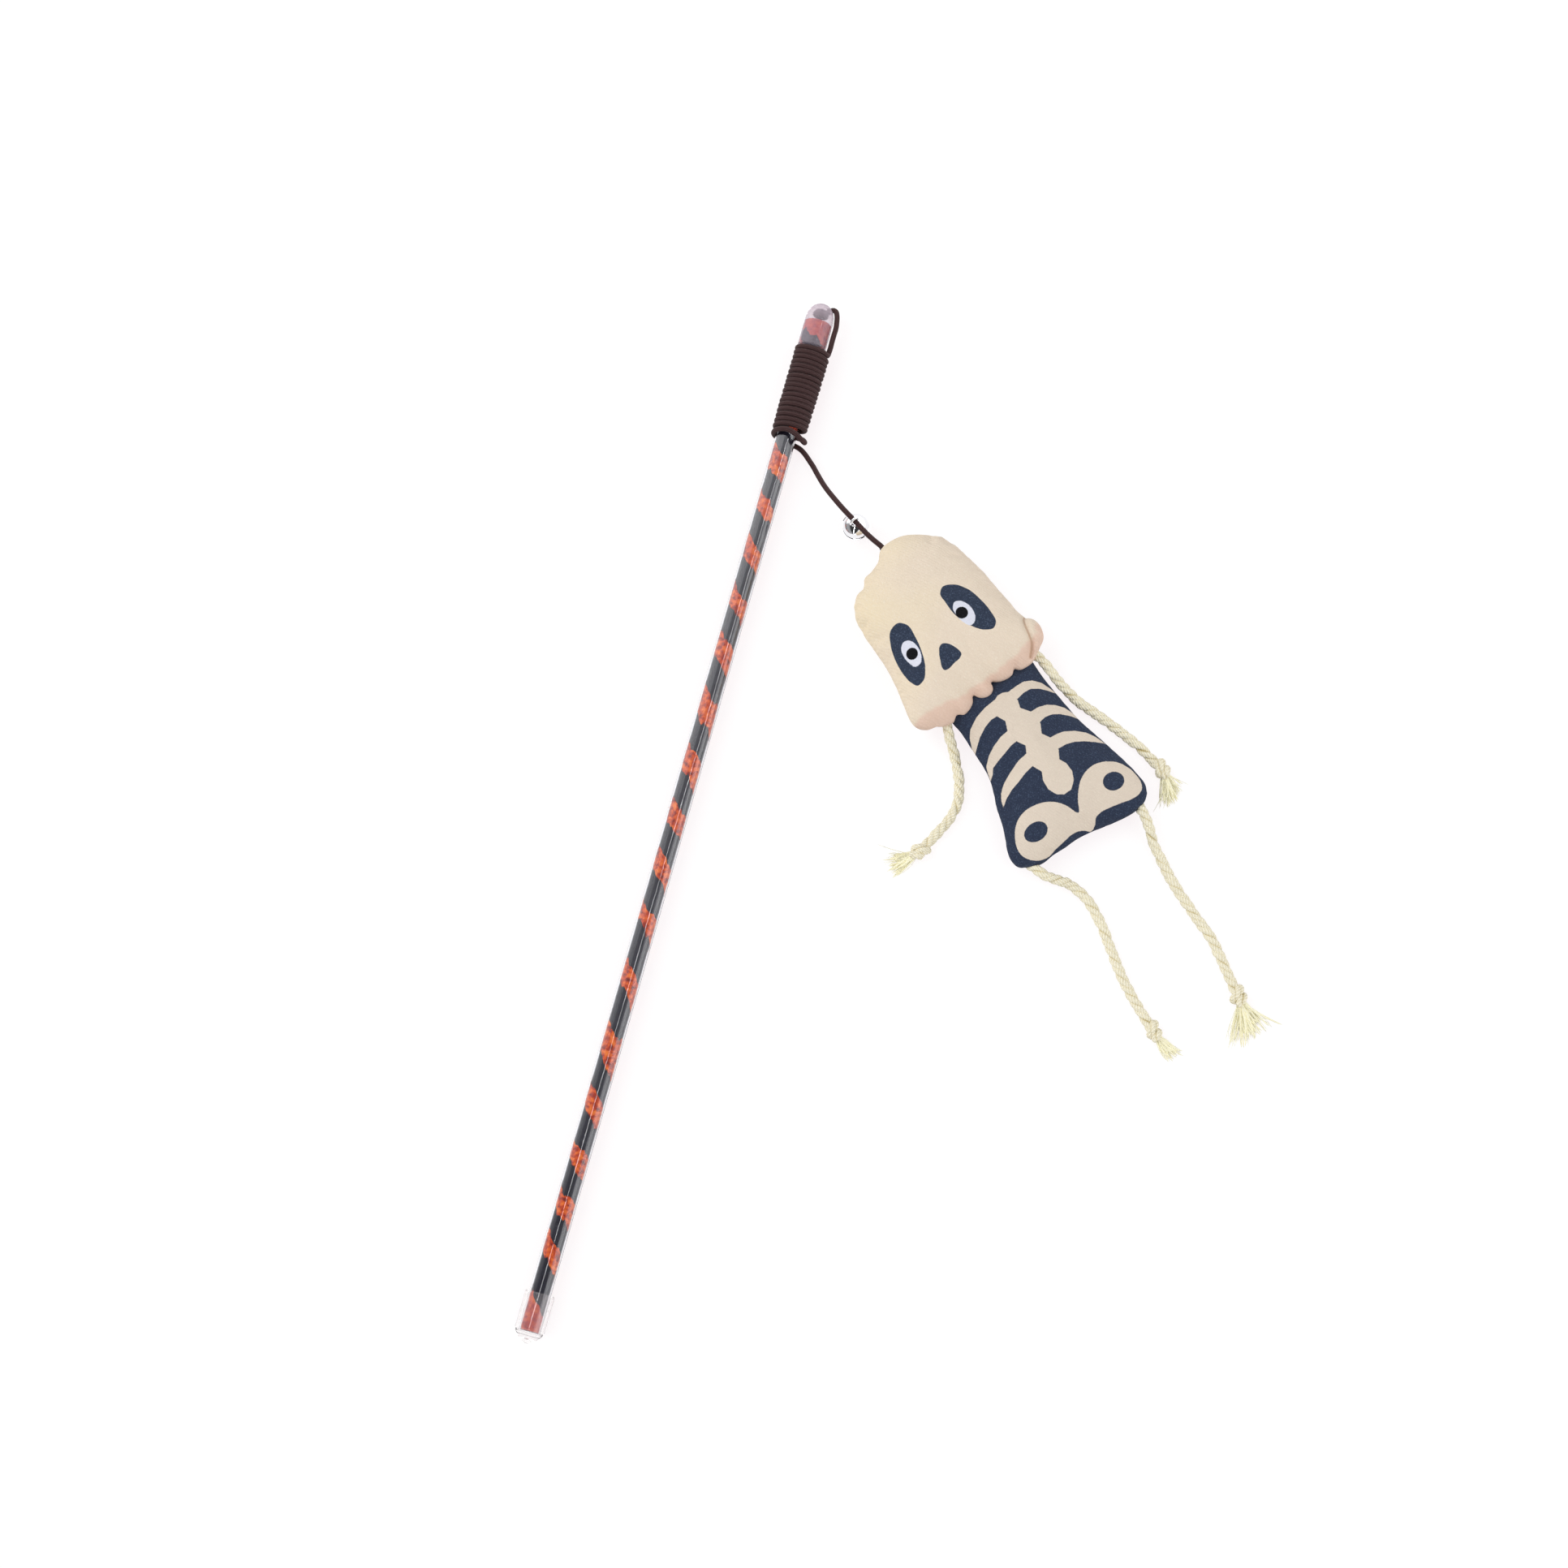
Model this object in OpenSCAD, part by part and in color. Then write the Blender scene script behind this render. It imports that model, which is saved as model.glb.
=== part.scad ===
// Cat teaser wand: a clear striped wand, an elastic cord, a jingle bell and a stuffed rope-limbed doll.
// It lies on a table: Z is up, the wand runs along Y with its cord end at +Y, and the doll lies at +X.

/* [Wand] */
// Length over both caps
wand_len = 400; // [300:5:500]
// Outside diameter of the clear tube
tube_d = 8; // [6:0.5:10]
// Wall of the clear tube
tube_wall = 0.5; // [0.4:0.1:0.8]
// Diameter of the smooth black liner
liner_d = 5; // [4:0.1:5]
// Thickness of the fuzzy orange strip
strip_thick = 0.5; // [0.3:0.1:0.6]
// Length of wand in which the strip goes round once
strip_pitch = 20.3; // [19:0.1:30]
// Angle that the strip covers round the liner
strip_cover = 194; // [150:2:210]

/* [Caps] */
// Length of each end cap
cap_len = 18; // [14:0.5:24]
// Wall of each end cap
cap_wall = 1.4; // [1:0.1:2]
// Radial clearance between a cap and the tube
cap_fit = 0.03; // [0.01:0.01:0.08]
// Length of the upper cap's rounded end
dome_len = 8; // [6:0.5:10]
// Length of the lower cap's bevelled end
bevel_len = 3.6; // [2:0.2:5]
// Length of the small nipple on the lower cap
nipple_len = 1.4; // [0.8:0.2:2]
// Radius of the rounding on a cap's rim
rim_round = 0.5; // [0.2:0.1:0.6]

/* [Elastic cord] */
// Diameter of the elastic cord
cord_d = 2; // [1.6:0.1:2.4]
// Number of tight turns round the tube
turns = 12; // [6:1:16]
// Gap between two tight turns
turn_gap = 0.45; // [0.42:0.01:0.8]
// Step of the last, loose turn
loose_step = 4.4; // [3.5:0.1:6]
// Diameter of the stop knot inside the upper cap
stop_knot_d = 4; // [3.4:0.1:4.4]
// Diameter of the anchor knot inside the head
anchor_knot_d = 5; // [4:0.1:6]

/* [Bell] */
// Diameter of the jingle bell
bell_d = 10; // [8:0.5:12]
// Wall of the bell's shells
bell_wall = 0.4; // [0.3:0.05:0.6]
// Width of the bell's sound slots
slot_w = 1; // [0.6:0.1:1.4]
// Diameter of the pellet
pellet_d = 2.6; // [2:0.1:3.4]
// Diameter of the eyelet's wire
eyelet_wire = 1; // [0.8:0.1:1.2]

/* [Head] */
// Length of the head, crown to jaw
head_len = 68.5; // [60:0.5:80]
// Width of the head across the jaw
head_w = 59; // [50:0.5:70]
// Height of the head's seam above the table
head_seam = 11.5; // [9:0.5:14]
// Rise of the face above the seam
head_rise = 12; // [8:0.5:15]

/* [Torso] */
// Length of the torso below the head
torso_len = 64; // [56:0.5:74]
// Width of the torso across its foot
torso_w = 56; // [48:0.5:64]
// Height of the torso's seam above the table
torso_seam = 7; // [6:0.5:9]
// Rise of the chest above the seam
torso_rise = 8.5; // [6:0.5:10]
// Thickness of the cloth, with its backing
cloth = 0.8; // [0.6:0.1:1.2]

/* [Rope limbs] */
// Diameter of the twisted cotton rope
rope_d = 4; // [3:0.2:5]
// Diameter of each rope's knot
knot_d = 6; // [5:0.2:7]
// Thickness of each frayed tassel at its knot
tassel_thick = 3; // [2:0.2:4]
// Length of an arm's tassel
arm_tassel_len = 12; // [8:0.5:18]
// Length of a leg's tassel
leg_tassel_len = 14; // [8:0.5:20]

/* [Hidden] */
$fn = 48;

// Gap kept between pieces that only lie side by side or turn against each other
gap = 0.3;
// Overrun of every cut past the face that it goes through
over = 1;
// Depth to which the soft doll is pressed flat where it lies on the table
flat_depth = 0.5;

// Wand: derived radii and heights
tube_r = tube_d / 2;
cord_r = cord_d / 2;
cap_r = tube_r + cap_wall;
wind_r = tube_r + cord_r + gap / 5;
axis_z = wind_r + cord_r;
rim_y = wand_len - cap_len;
tube_low = bevel_len + nipple_len * 0.5;
tube_high = wand_len - dome_len + gap * 3;
strip_r = tube_r - tube_wall - 0.05 * strip_thick;
strip_slices = 8;
strip_arc_steps = 5;
dome_shares = [[1, 0], [0.985, 0.25], [0.93, 0.47], [0.83, 0.66], [0.67, 0.82], [0.45, 0.94], [0.22, 1]];
hollow_shares = [[1, 0], [0.9, 0.2], [0.72, 0.45], [0.45, 0.66], [0, 0.78]];

// Stop knot and cord hole: the hole leans from the wand's axis towards the doll
hole_lean = 50;
stop_knot_y = wand_len - dome_len + 1.3 * stop_knot_d / 2 + gap * 2;
hole_r = cord_r + gap / 2;
hole_len = cap_r * 1.4;

// Winding: its path round the tube, and how it starts and leaves
turn_steps = 24;
first_turn_y = rim_y - cord_d - 0.7;
turn_step = cord_d + turn_gap;
wind_end_y = first_turn_y - turns * turn_step - loose_step;
wind_start_route = [[1.9, 5.2, 2.2], [1.9, 3.2, 2.2], [1.5, 1.8, 2.1], [0.9, 0.7, 1.6], [0.3, 0.2, 0.8]];
wind_end_route = [[0.1, -0.3, -1.2], [0.4, -0.8, -2.2], [1, -1.5, -3], [2, -2.4, -3.4], [3.2, -3.5, -3.4],
    [4.6, -4.8, -3.4]];

// Run from the cap's tip to the winding, measured from the wand's tip
tip_route = [[4.9, -0.8, 0], [6.5, -0.9, 0], [7.8, -2.3, 0.1], [8.4, -4.5, 0.3], [8.6, -7.5, 0.8],
    [8.2, -10.5, 1.5], [7.4, -12.6, 2]];

// Lead from its pivot beside the winding to the doll's crown, measured from that pivot
lead_route = [[4, -4.3, 1.7], [9, -9.8, 5], [14.4, -14.6, 8], [18.9, -18.1, 9.4], [30.9, -25.9, 9.4],
    [33.6, -27.3, 9.2], [35.4, -28.1, 8.9]];
bell_span = [3, 4];
bell_share = 0.42;

// Doll: how it lies, and its outlines as shares of its length and width
head_turn = -39.2;
neck_place_shares = [1.003, 0.005];
neck_bend = -4.5;
head_outline_shares = [[0, 0.01], [0.06, 0.21], [0.145, 0.33], [0.29, 0.38], [0.45, 0.415], [0.63, 0.43],
    [0.77, 0.455], [0.855, 0.49], [0.925, 0.45], [0.97, 0.32], [0.97, 0.135], [0.97, -0.07],
    [0.99, -0.24], [1, -0.37], [0.95, -0.475], [0.855, -0.51], [0.76, -0.48], [0.585, -0.44],
    [0.395, -0.425], [0.19, -0.375], [0.073, -0.21]];
head_centre_shares = [0.52, 0];
torso_outline_shares = [[-0.14, 0], [-0.125, 0.18], [-0.08, 0.31], [0.03, 0.347], [0.16, 0.36],
    [0.335, 0.38], [0.57, 0.448], [0.785, 0.498], [0.905, 0.505], [0.985, 0.455], [1, 0.34],
    [0.99, 0.18], [0.97, 0], [0.97, -0.18], [0.97, -0.34], [0.945, -0.455], [0.875, -0.49],
    [0.765, -0.455], [0.68, -0.414], [0.515, -0.348], [0.38, -0.305], [0.2, -0.314], [0.03, -0.332],
    [-0.08, -0.31], [-0.125, -0.18]];
torso_centre_shares = [0.48, 0.015];
pouch_ring_shares = [1, 0.94, 0.8, 0.54];
outline_steps = 2;

// Limbs: where each leaves the torso's edge and which way, then its route from there; the third number
// of a route point is the share of the drop from the seam to the table
left_arm_exit_shares = [0.032, -0.337];
left_arm_exit_turn = -68;
left_arm_route = [[2, -0.8, 0.08], [5, -1.6, 0.4], [9.5, -3, 0.9], [14, -4.8, 1], [19, -7.4, 1],
    [24, -11.4, 1], [27, -16.5, 1], [29, -22.5, 1], [30.6, -28.5, 1]];
left_arm_end_turn = -97;
right_arm_exit_shares = [0.03, 0.354];
right_arm_exit_turn = 86;
right_arm_route = [[2.2, 0.1, 0.08], [6, 0.8, 0.4], [10.5, 1.8, 0.9], [15.5, 3.2, 1], [25, 7, 1],
    [34.5, 10.4, 1], [43, 13, 1], [50, 14.4, 1]];
right_arm_end_turn = -12;
left_leg_exit_shares = [0.97, -0.36];
left_leg_exit_turn = -12;
left_leg_route = [[2.3, 1, 0.06], [5.5, 4, 0.4], [9.5, 7.4, 0.9], [14, 9, 1], [21, 9.6, 1], [29, 8.6, 1],
    [38, 6.8, 1], [47.5, 5, 1], [57, 4.2, 1], [66, 4, 1]];
left_leg_end_turn = 18;
right_leg_exit_shares = [1.004, 0.39];
right_leg_exit_turn = 8;
right_leg_route = [[2.2, -0.2, 0.06], [6, -1.2, 0.4], [11, -2.4, 0.9], [16, -3.1, 1], [24, -3.9, 1],
    [33, -4, 1], [42, -3.8, 1], [50, -3.4, 1], [59, -4.6, 1], [69, -6.2, 1]];
right_leg_end_turn = -18;

cord_sides = 8;
wind_sides = 6;

// Small vector helpers
function unit(v) = v / norm(v);
function along(a, b, share) = a + (b - a) * share;
function turned(p, angle) = [p[0] * cos(angle) - p[1] * sin(angle), p[0] * sin(angle) + p[1] * cos(angle)];
function flat(p) = [p[0], p[1]];

// A point on the smooth curve through b and c, with a and d before and after them
function curve_point(a, b, c, d, t) =
    (b * 2 + (c - a) * t + (a * 2 - b * 5 + c * 4 - d) * t * t + (b * 3 - a - c * 3 + d) * t * t * t) / 2;

// A closed curve through the points
function smooth_ring(p, steps) = [for (i = [0:len(p) - 1]) for (j = [0:steps - 1])
    curve_point(p[(i + len(p) - 1) % len(p)], p[i], p[(i + 1) % len(p)], p[(i + 2) % len(p)], j / steps)];

// Direction of a path at one of its points
function heading(path, i) = unit(path[min(i + 1, len(path) - 1)] - path[max(i - 1, 0)]);

// One ring of a swept tube: half widths wide and high, square to the path there
function tube_ring(centre, ahead, up, wide, high, sides) =
    let (across = unit(cross(ahead, up)), top = cross(across, ahead))
    [for (k = [0:sides - 1])
        let (angle = 360 * (k + 0.5) / sides)
        centre + across * wide * cos(angle) + top * high * sin(angle)];

// A closed tube swept along a path, with its half widths and its up direction given for each point
module swept(path, ups, wide, high, sides) {
    rings = len(path);
    points = [for (i = [0:rings - 1])
        each tube_ring(path[i], heading(path, i), ups[i], wide[i], high[i], sides)];
    walls = [for (i = [0:rings - 2]) for (k = [0:sides - 1])
        let (a = i * sides + k, b = i * sides + (k + 1) % sides)
        each [[a, b, b + sides], [a, b + sides, a + sides]]];
    start_end = [for (k = [1:sides - 2]) [0, k + 1, k]];
    last = (rings - 1) * sides;
    far_end = [for (k = [1:sides - 2]) [last, last + k, last + k + 1]];
    polyhedron(points = points, faces = concat(walls, start_end, far_end));
}

// A cord whose start is rounded about its first point, and with two_ended its end too, so that it turns there
round_shares = [[0.97, 0.25], [0.7, 0.72], [0, 1]];
module round_started_cord(path, radius, two_ended = false) {
    last = len(path) - 1;
    ahead = unit(path[1] - path[0]);
    onward = unit(path[last] - path[last - 1]);
    start = [for (s = round_shares) path[0] - ahead * radius * s[0]];
    middle = [for (i = [1:last - 1]) path[i]];
    finish = two_ended ? [for (i = [2:-1:0]) path[last] + onward * radius * round_shares[i][0]] : [path[last]];
    whole = concat(start, middle, finish);
    radii = concat([for (s = round_shares) radius * s[1]], [for (p = middle) radius],
        two_ended ? [for (i = [2:-1:0]) radius * round_shares[i][1]] : [radius]);
    swept(whole, [for (p = whole) [0, 0, 1]], radii, radii, cord_sides);
}

// Wand-axis solids are drawn along Z and then laid along Y
module laid() {
    translate([0, 0, axis_z])
        rotate([-90, 0, 0])
            children();
}

module wand_tube() {
    color([0.9, 0.93, 0.95, 0.35]) stand() laid() translate([0, 0, tube_low])
        difference() {
            cylinder(h = tube_high - tube_low, r = tube_r);
            translate([0, 0, -over]) cylinder(h = tube_high - tube_low + over * 2, r = tube_r - tube_wall);
        }
}

module black_liner() {
    color([0.15, 0.14, 0.19]) stand() laid() translate([0, 0, tube_low + gap])
        cylinder(h = tube_high - tube_low - gap * 2, d = liner_d);
}

// A strip of an arc's section, turned about the liner once in every pitch
module orange_strip() {
    strip_len = tube_high - tube_low - gap * 2;
    rounds = strip_len / strip_pitch;
    inner_r = strip_r - strip_thick;
    outer_arc = [for (i = [0:strip_arc_steps])
        let (angle = strip_cover * i / strip_arc_steps) [cos(angle), sin(angle)] * strip_r];
    inner_arc = [for (i = [strip_arc_steps:-1:0])
        let (angle = strip_cover * i / strip_arc_steps) [cos(angle), sin(angle)] * inner_r];
    color([0.9, 0.4, 0.17]) stand() laid() translate([0, 0, tube_low + gap])
        linear_extrude(height = strip_len, twist = 360 * rounds, slices = round(rounds * strip_slices),
            segments = len(outer_arc) * 2)
            polygon(concat(outer_arc, inner_arc));
}

// Upper cap: a sleeve with a bullet-shaped end, hollow for the stop knot, and a leaning cord hole
module upper_cap() {
    shoulder = cap_len - dome_len;
    bore_r = tube_r + cap_fit;
    outside = concat([[0, 0], [cap_r - rim_round, 0], [cap_r, rim_round]],
        [for (s = dome_shares) [cap_r * s[0], shoulder + dome_len * s[1]]], [[0, cap_len]]);
    inside = concat([[0, -over], [bore_r, -over]],
        [for (s = hollow_shares) [bore_r * s[0], shoulder + gap * 3 + dome_len * s[1]]]);
    color([0.95, 0.9, 0.9, 0.45]) stand() laid() translate([0, 0, rim_y])
        difference() {
            rotate_extrude() polygon(outside);
            rotate_extrude() polygon(inside);
            translate([0, 0, stop_knot_y - rim_y])
                rotate([0, hole_lean, 0])
                    cylinder(h = hole_len, r = hole_r);
        }
}

// Lower cap: a straight sleeve with a bevelled end and a small nipple
module lower_cap() {
    nipple_r = cap_r * 0.3;
    bevel_low_r = cap_r * 0.56;
    straight = cap_len - bevel_len - nipple_len;
    outside = [[0, 0], [nipple_r * 0.7, 0], [nipple_r, nipple_len * 0.4], [nipple_r, nipple_len],
        [bevel_low_r, nipple_len], [cap_r * 0.9, nipple_len + bevel_len * 0.55],
        [cap_r, nipple_len + bevel_len], [cap_r, nipple_len + bevel_len + straight - rim_round],
        [cap_r - rim_round, cap_len], [0, cap_len]];
    color([0.95, 0.93, 0.92, 0.45]) stand() laid()
        difference() {
            rotate_extrude() polygon(outside);
            translate([0, 0, tube_low])
                cylinder(h = cap_len, r = tube_r + cap_fit);
        }
}

// Middle of the stop knot, and the direction of the cord hole
stop_knot_place = [0, stop_knot_y, axis_z];
hole_ahead = [sin(hole_lean), cos(hole_lean), 0];

module stop_knot() {
    color([0.2, 0.15, 0.15]) stand() translate(stop_knot_place) sphere(d = stop_knot_d);
}

// The winding: a start along the tube, tight turns, a loose turn and a way off towards the doll
wind_first = [wind_r, first_turn_y, axis_z];
wind_last = [wind_r, wind_end_y, axis_z];
wind_start = [for (p = wind_start_route) wind_first + p];
wind_end = [for (p = wind_end_route) wind_last + p];
wind_loops = [for (i = [0:turn_steps * (turns + 1)])
    let (round = i / turn_steps, loose = max(0, round - turns), angle = -360 * round)
    [wind_r * cos(angle), first_turn_y - turn_step * (round - loose) - loose_step * loose,
        axis_z + wind_r * sin(angle)]];
wind_path = concat(wind_start, wind_loops, wind_end);

// Least gap of the winding to itself, measured between points at least half a turn apart
function least(values) = min(values);
wind_gap = least([for (i = [0:len(wind_path) - 1]) for (j = [i + turn_steps / 2:len(wind_path) - 1])
    norm(wind_path[i] - wind_path[j])]) - cord_d;
echo(least_gap_of_winding_to_itself_mm = wind_gap, enough = wind_gap > 0.4);

module cord_winding() {
    ups = [for (p = wind_path) unit([p[0], 0, p[2] - axis_z])];
    radii = [for (p = wind_path) cord_r];
    color([0.23, 0.16, 0.16]) stand() swept(wind_path, ups, radii, radii, wind_sides);
}

module tip_run() {
    start = [for (reach = [0.85, 1.9]) stop_knot_place + hole_ahead * stop_knot_d / 2 * reach];
    wand_tip = [0, wand_len, axis_z];
    middle = [for (p = tip_route) wand_tip + p];
    meet = wind_start[0];
    path = concat(start, middle, [meet + [0, cord_d, 0], meet]);
    radii = [for (p = path) cord_r];
    color([0.23, 0.16, 0.16]) stand() swept(path, [for (p = path) [0, 0, 1]], radii, radii, cord_sides);
}

// The lead's pivot lies just past the winding's end, on the line along which the cord leaves it
wind_stop = wind_end[len(wind_end) - 1];
wind_ahead = unit(wind_stop - wind_end[len(wind_end) - 2]);
lead_pivot = wind_stop + wind_ahead * (cord_r + gap);
lead_path = concat([lead_pivot, lead_pivot + wind_ahead * cord_d], [for (p = lead_route) lead_pivot + p]);
doll_pivot = lead_path[len(lead_path) - 1];

module lead_cord() {
    color([0.23, 0.16, 0.16]) stand() round_started_cord(lead_path, cord_r, true);
}

// The bell hangs under the lead's straight stretch and stands on the table
bell_r = bell_d / 2;
bell_from = lead_pivot + lead_route[bell_span[0]];
bell_to = lead_pivot + lead_route[bell_span[1]];
bell_on_cord = along(bell_from, bell_to, bell_share);
bell_turn = atan2(bell_to[1] - bell_from[1], bell_to[0] - bell_from[0]);
eyelet_hole_r = cord_r + gap;
eyelet_r = eyelet_hole_r + eyelet_wire / 2;
seat_depth = bell_r * 0.06;
foot_r = bell_r * 0.22;
foot_top = bell_on_cord[2] - eyelet_hole_r - eyelet_wire / 2;
flange_r = bell_r * 1.06;
flange_half = bell_wall * 0.7;

module at_bell() {
    translate([bell_on_cord[0], bell_on_cord[1], 0]) rotate([0, 0, bell_turn]) children();
}

module bell_ball() {
    difference() {
        union() {
            sphere(r = bell_r);
            translate([0, 0, -flange_half]) cylinder(h = flange_half * 2, r = flange_r);
        }
        sphere(r = bell_r - bell_wall);
    }
}

module bell_upper_shell() {
    color([0.8, 0.81, 0.83]) stand() at_bell() translate([0, 0, bell_r])
        difference() {
            bell_ball();
            translate([-bell_d, -bell_d, -bell_d * 2]) cube([bell_d * 2, bell_d * 2, bell_d * 2]);
            translate([-bell_r, -bell_r, bell_r - seat_depth]) cube([bell_d, bell_d, bell_r]);
        }
}

module bell_lower_shell() {
    slot_len = bell_d * 0.68;
    color([0.8, 0.81, 0.83]) stand() at_bell() translate([0, 0, bell_r])
        difference() {
            bell_ball();
            translate([-bell_d, -bell_d, 0]) cube([bell_d * 2, bell_d * 2, bell_d * 2]);
            translate([-slot_len / 2, -slot_w / 2, -bell_d]) cube([slot_len, slot_w, bell_d]);
            translate([-slot_w / 2, -slot_len / 2, -bell_d]) cube([slot_w, slot_len, bell_d]);
            for (angle = [0:90:270])
                rotate([0, 0, angle]) translate([slot_len / 2, 0, -bell_d])
                    cylinder(h = bell_d, r = slot_w * 0.75);
        }
}

module bell_eyelet() {
    color([0.85, 0.86, 0.88]) stand() at_bell() {
        difference() {
            union() {
                translate([0, 0, bell_on_cord[2]]) rotate([0, 90, 0])
                    rotate_extrude() translate([eyelet_r, 0]) circle(d = eyelet_wire);
                translate([0, 0, bell_d - seat_depth])
                    cylinder(h = foot_top + eyelet_wire / 2 - bell_d + seat_depth, r = foot_r);
            }
            translate([-bell_r, 0, bell_on_cord[2]]) rotate([0, 90, 0])
                cylinder(h = bell_d, r = eyelet_hole_r);
        }
    }
}

module bell_pellet() {
    color([0.45, 0.45, 0.47]) stand() at_bell()
        translate([0, 0, bell_wall + gap + pellet_d / 2]) sphere(d = pellet_d);
}

// Soft pouches: rings of an outline drawn in towards a centre while they rise to a rounded top
function rounding(share) = pow(1 - pow(share, 2.4), 0.6);
function drawn_in(p, centre, depth) = p + unit(centre - p) * depth;
function pouch_ring(outline, centre, share, height) =
    [for (p = outline) let (q = along(centre, p, share)) [q[0], q[1], height]];

// Points of one pouch surface, seam ring first and top point last; low keeps it off the table
function pouch_points(outline, centre, seam, rise, inset, low) =
    let (edge = [for (p = outline) drawn_in(p, centre, inset)], reach = rise - inset * sign(rise))
    concat([for (s = pouch_ring_shares)
        each pouch_ring(edge, centre, s, max(low, seam + reach * rounding(s)))],
        [[centre[0], centre[1], max(low, seam + reach)]]);

// Triangles of one pouch surface whose points start at first; flip turns them inside out
function facing(tri, flip) = flip ? [tri[0], tri[2], tri[1]] : tri;
function pouch_faces(count, first, flip) =
    let (rings = len(pouch_ring_shares), top = first + rings * count)
    concat([for (r = [0:rings - 2]) for (k = [0:count - 1])
        let (a = first + r * count + k, b = first + r * count + (k + 1) % count)
        each [facing([a, b + count, b], flip), facing([a, a + count, b + count], flip)]],
        [for (k = [0:count - 1])
            let (a = top - count + k, b = top - count + (k + 1) % count) facing([a, top, b], flip)]);

// A cloth panel: an outer and an inner surface joined by a flat seam edge
module panel(outline, centre, seam, rise) {
    count = len(outline);
    up = rise > 0;
    outer = pouch_points(outline, centre, seam, rise, 0, 0);
    inner = pouch_points(outline, centre, seam, rise, cloth, cloth);
    first = len(outer);
    edge = [for (k = [0:count - 1])
        let (a = k, b = (k + 1) % count)
        each [facing([a, b, first + b], up), facing([a, first + b, first + a], up)]];
    polyhedron(points = concat(outer, inner),
        faces = concat(pouch_faces(count, 0, !up), pouch_faces(count, first, up),
            [for (t = edge) facing(t, true)]));
}

// A closed pouch, drawn in by inset, or grown where inset is negative
module pouch(outline, centre, seam, rise, inset) {
    count = len(outline);
    upper = pouch_points(outline, centre, seam, rise, inset, 0);
    low = inset > 0 ? inset : -over;
    lower = pouch_points(outline, centre, seam, -seam - flat_depth, inset, low);
    lower_rest = [for (i = [count:len(lower) - 1]) lower[i]];
    shift = len(upper) - count;
    lower_faces = [for (t = pouch_faces(count, 0, false)) [for (i = t) i < count ? i : i + shift]];
    polyhedron(points = concat(upper, lower_rest),
        faces = concat(pouch_faces(count, 0, true), lower_faces));
}

filling_room = gap * 1.6;
function sized(shares, length, width) = [for (s = shares) [s[0] * length, s[1] * width]];
head_outline = smooth_ring(sized(head_outline_shares, head_len, head_w), outline_steps);
head_centre = [head_centre_shares[0] * head_len, head_centre_shares[1] * head_w];
torso_outline = smooth_ring(sized(torso_outline_shares, torso_len, torso_w), outline_steps);
torso_centre = [torso_centre_shares[0] * torso_len, torso_centre_shares[1] * torso_w];

// Places in the wand's frame: the crown lies just past the doll's pivot
crown_reach = cord_r + gap;
crown_place = flat(doll_pivot) + turned([crown_reach, 0], head_turn);
neck_local = [neck_place_shares[0] * head_len, neck_place_shares[1] * head_w];
neck_place = crown_place + turned(neck_local, head_turn);
torso_turn = head_turn + neck_bend;
function on_torso(p) = neck_place + turned(p, torso_turn);

module at_head() {
    translate([crown_place[0], crown_place[1], 0]) rotate([0, 0, head_turn]) children();
}

module at_torso() {
    translate([neck_place[0], neck_place[1], 0]) rotate([0, 0, torso_turn]) children();
}

// The whole part is centred over its own caps, head and torso
torso_reach = max([for (p = torso_outline) on_torso(p)[0]]);
mid_x = (torso_reach - cap_r) / 2;

module stand() {
    translate([-mid_x, -wand_len / 2, 0]) children();
}

// Anchor knot: it sits in a pocket of the filling and its tail passes out between the two panels
anchor_depth = anchor_knot_d * 1.6;
pocket_r = anchor_knot_d / 2 + gap;
crown_hole_r = cord_r + gap;

module crown_pocket() {
    translate([-over, 0, head_seam]) rotate([0, 90, 0]) cylinder(h = anchor_depth + over, r = crown_hole_r);
    translate([anchor_depth, 0, head_seam]) sphere(r = pocket_r);
}

module head_front_panel() {
    color([0.92, 0.87, 0.78]) stand() at_head()
        difference() {
            panel(head_outline, head_centre, head_seam, head_rise);
            crown_pocket();
        }
}

module head_back_panel() {
    color([0.92, 0.87, 0.78]) stand() at_head()
        difference() {
            panel(head_outline, head_centre, head_seam, -head_seam - flat_depth);
            crown_pocket();
        }
}

module head_filling() {
    color([0.97, 0.97, 0.97]) stand() at_head()
        difference() {
            pouch(head_outline, head_centre, head_seam, head_rise, cloth + filling_room);
            crown_pocket();
        }
}

module anchor_knot() {
    color([0.23, 0.16, 0.16]) stand() at_head() translate([0, 0, head_seam])
        union() {
            rotate([0, 90, 0]) cylinder(h = anchor_depth, r = cord_r);
            translate([anchor_depth, 0, 0]) sphere(d = anchor_knot_d);
        }
}

// The torso's neck ends against the head: the head's shape, grown by the gap, is cut away from it
module head_room() {
    rotate([0, 0, -neck_bend]) translate([-neck_local[0], -neck_local[1], 0])
        pouch(head_outline, head_centre, head_seam, head_rise, -gap);
}

module torso_front_panel() {
    color([0.17, 0.21, 0.28]) stand() at_torso()
        difference() {
            panel(torso_outline, torso_centre, torso_seam, torso_rise);
            head_room();
        }
}

module torso_back_panel() {
    color([0.17, 0.21, 0.28]) stand() at_torso()
        difference() {
            panel(torso_outline, torso_centre, torso_seam, -torso_seam - flat_depth);
            head_room();
        }
}

module torso_filling() {
    color([0.97, 0.97, 0.97]) stand() at_torso()
        difference() {
            pouch(torso_outline, torso_centre, torso_seam, torso_rise, cloth + filling_room);
            head_room();
        }
}

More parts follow.
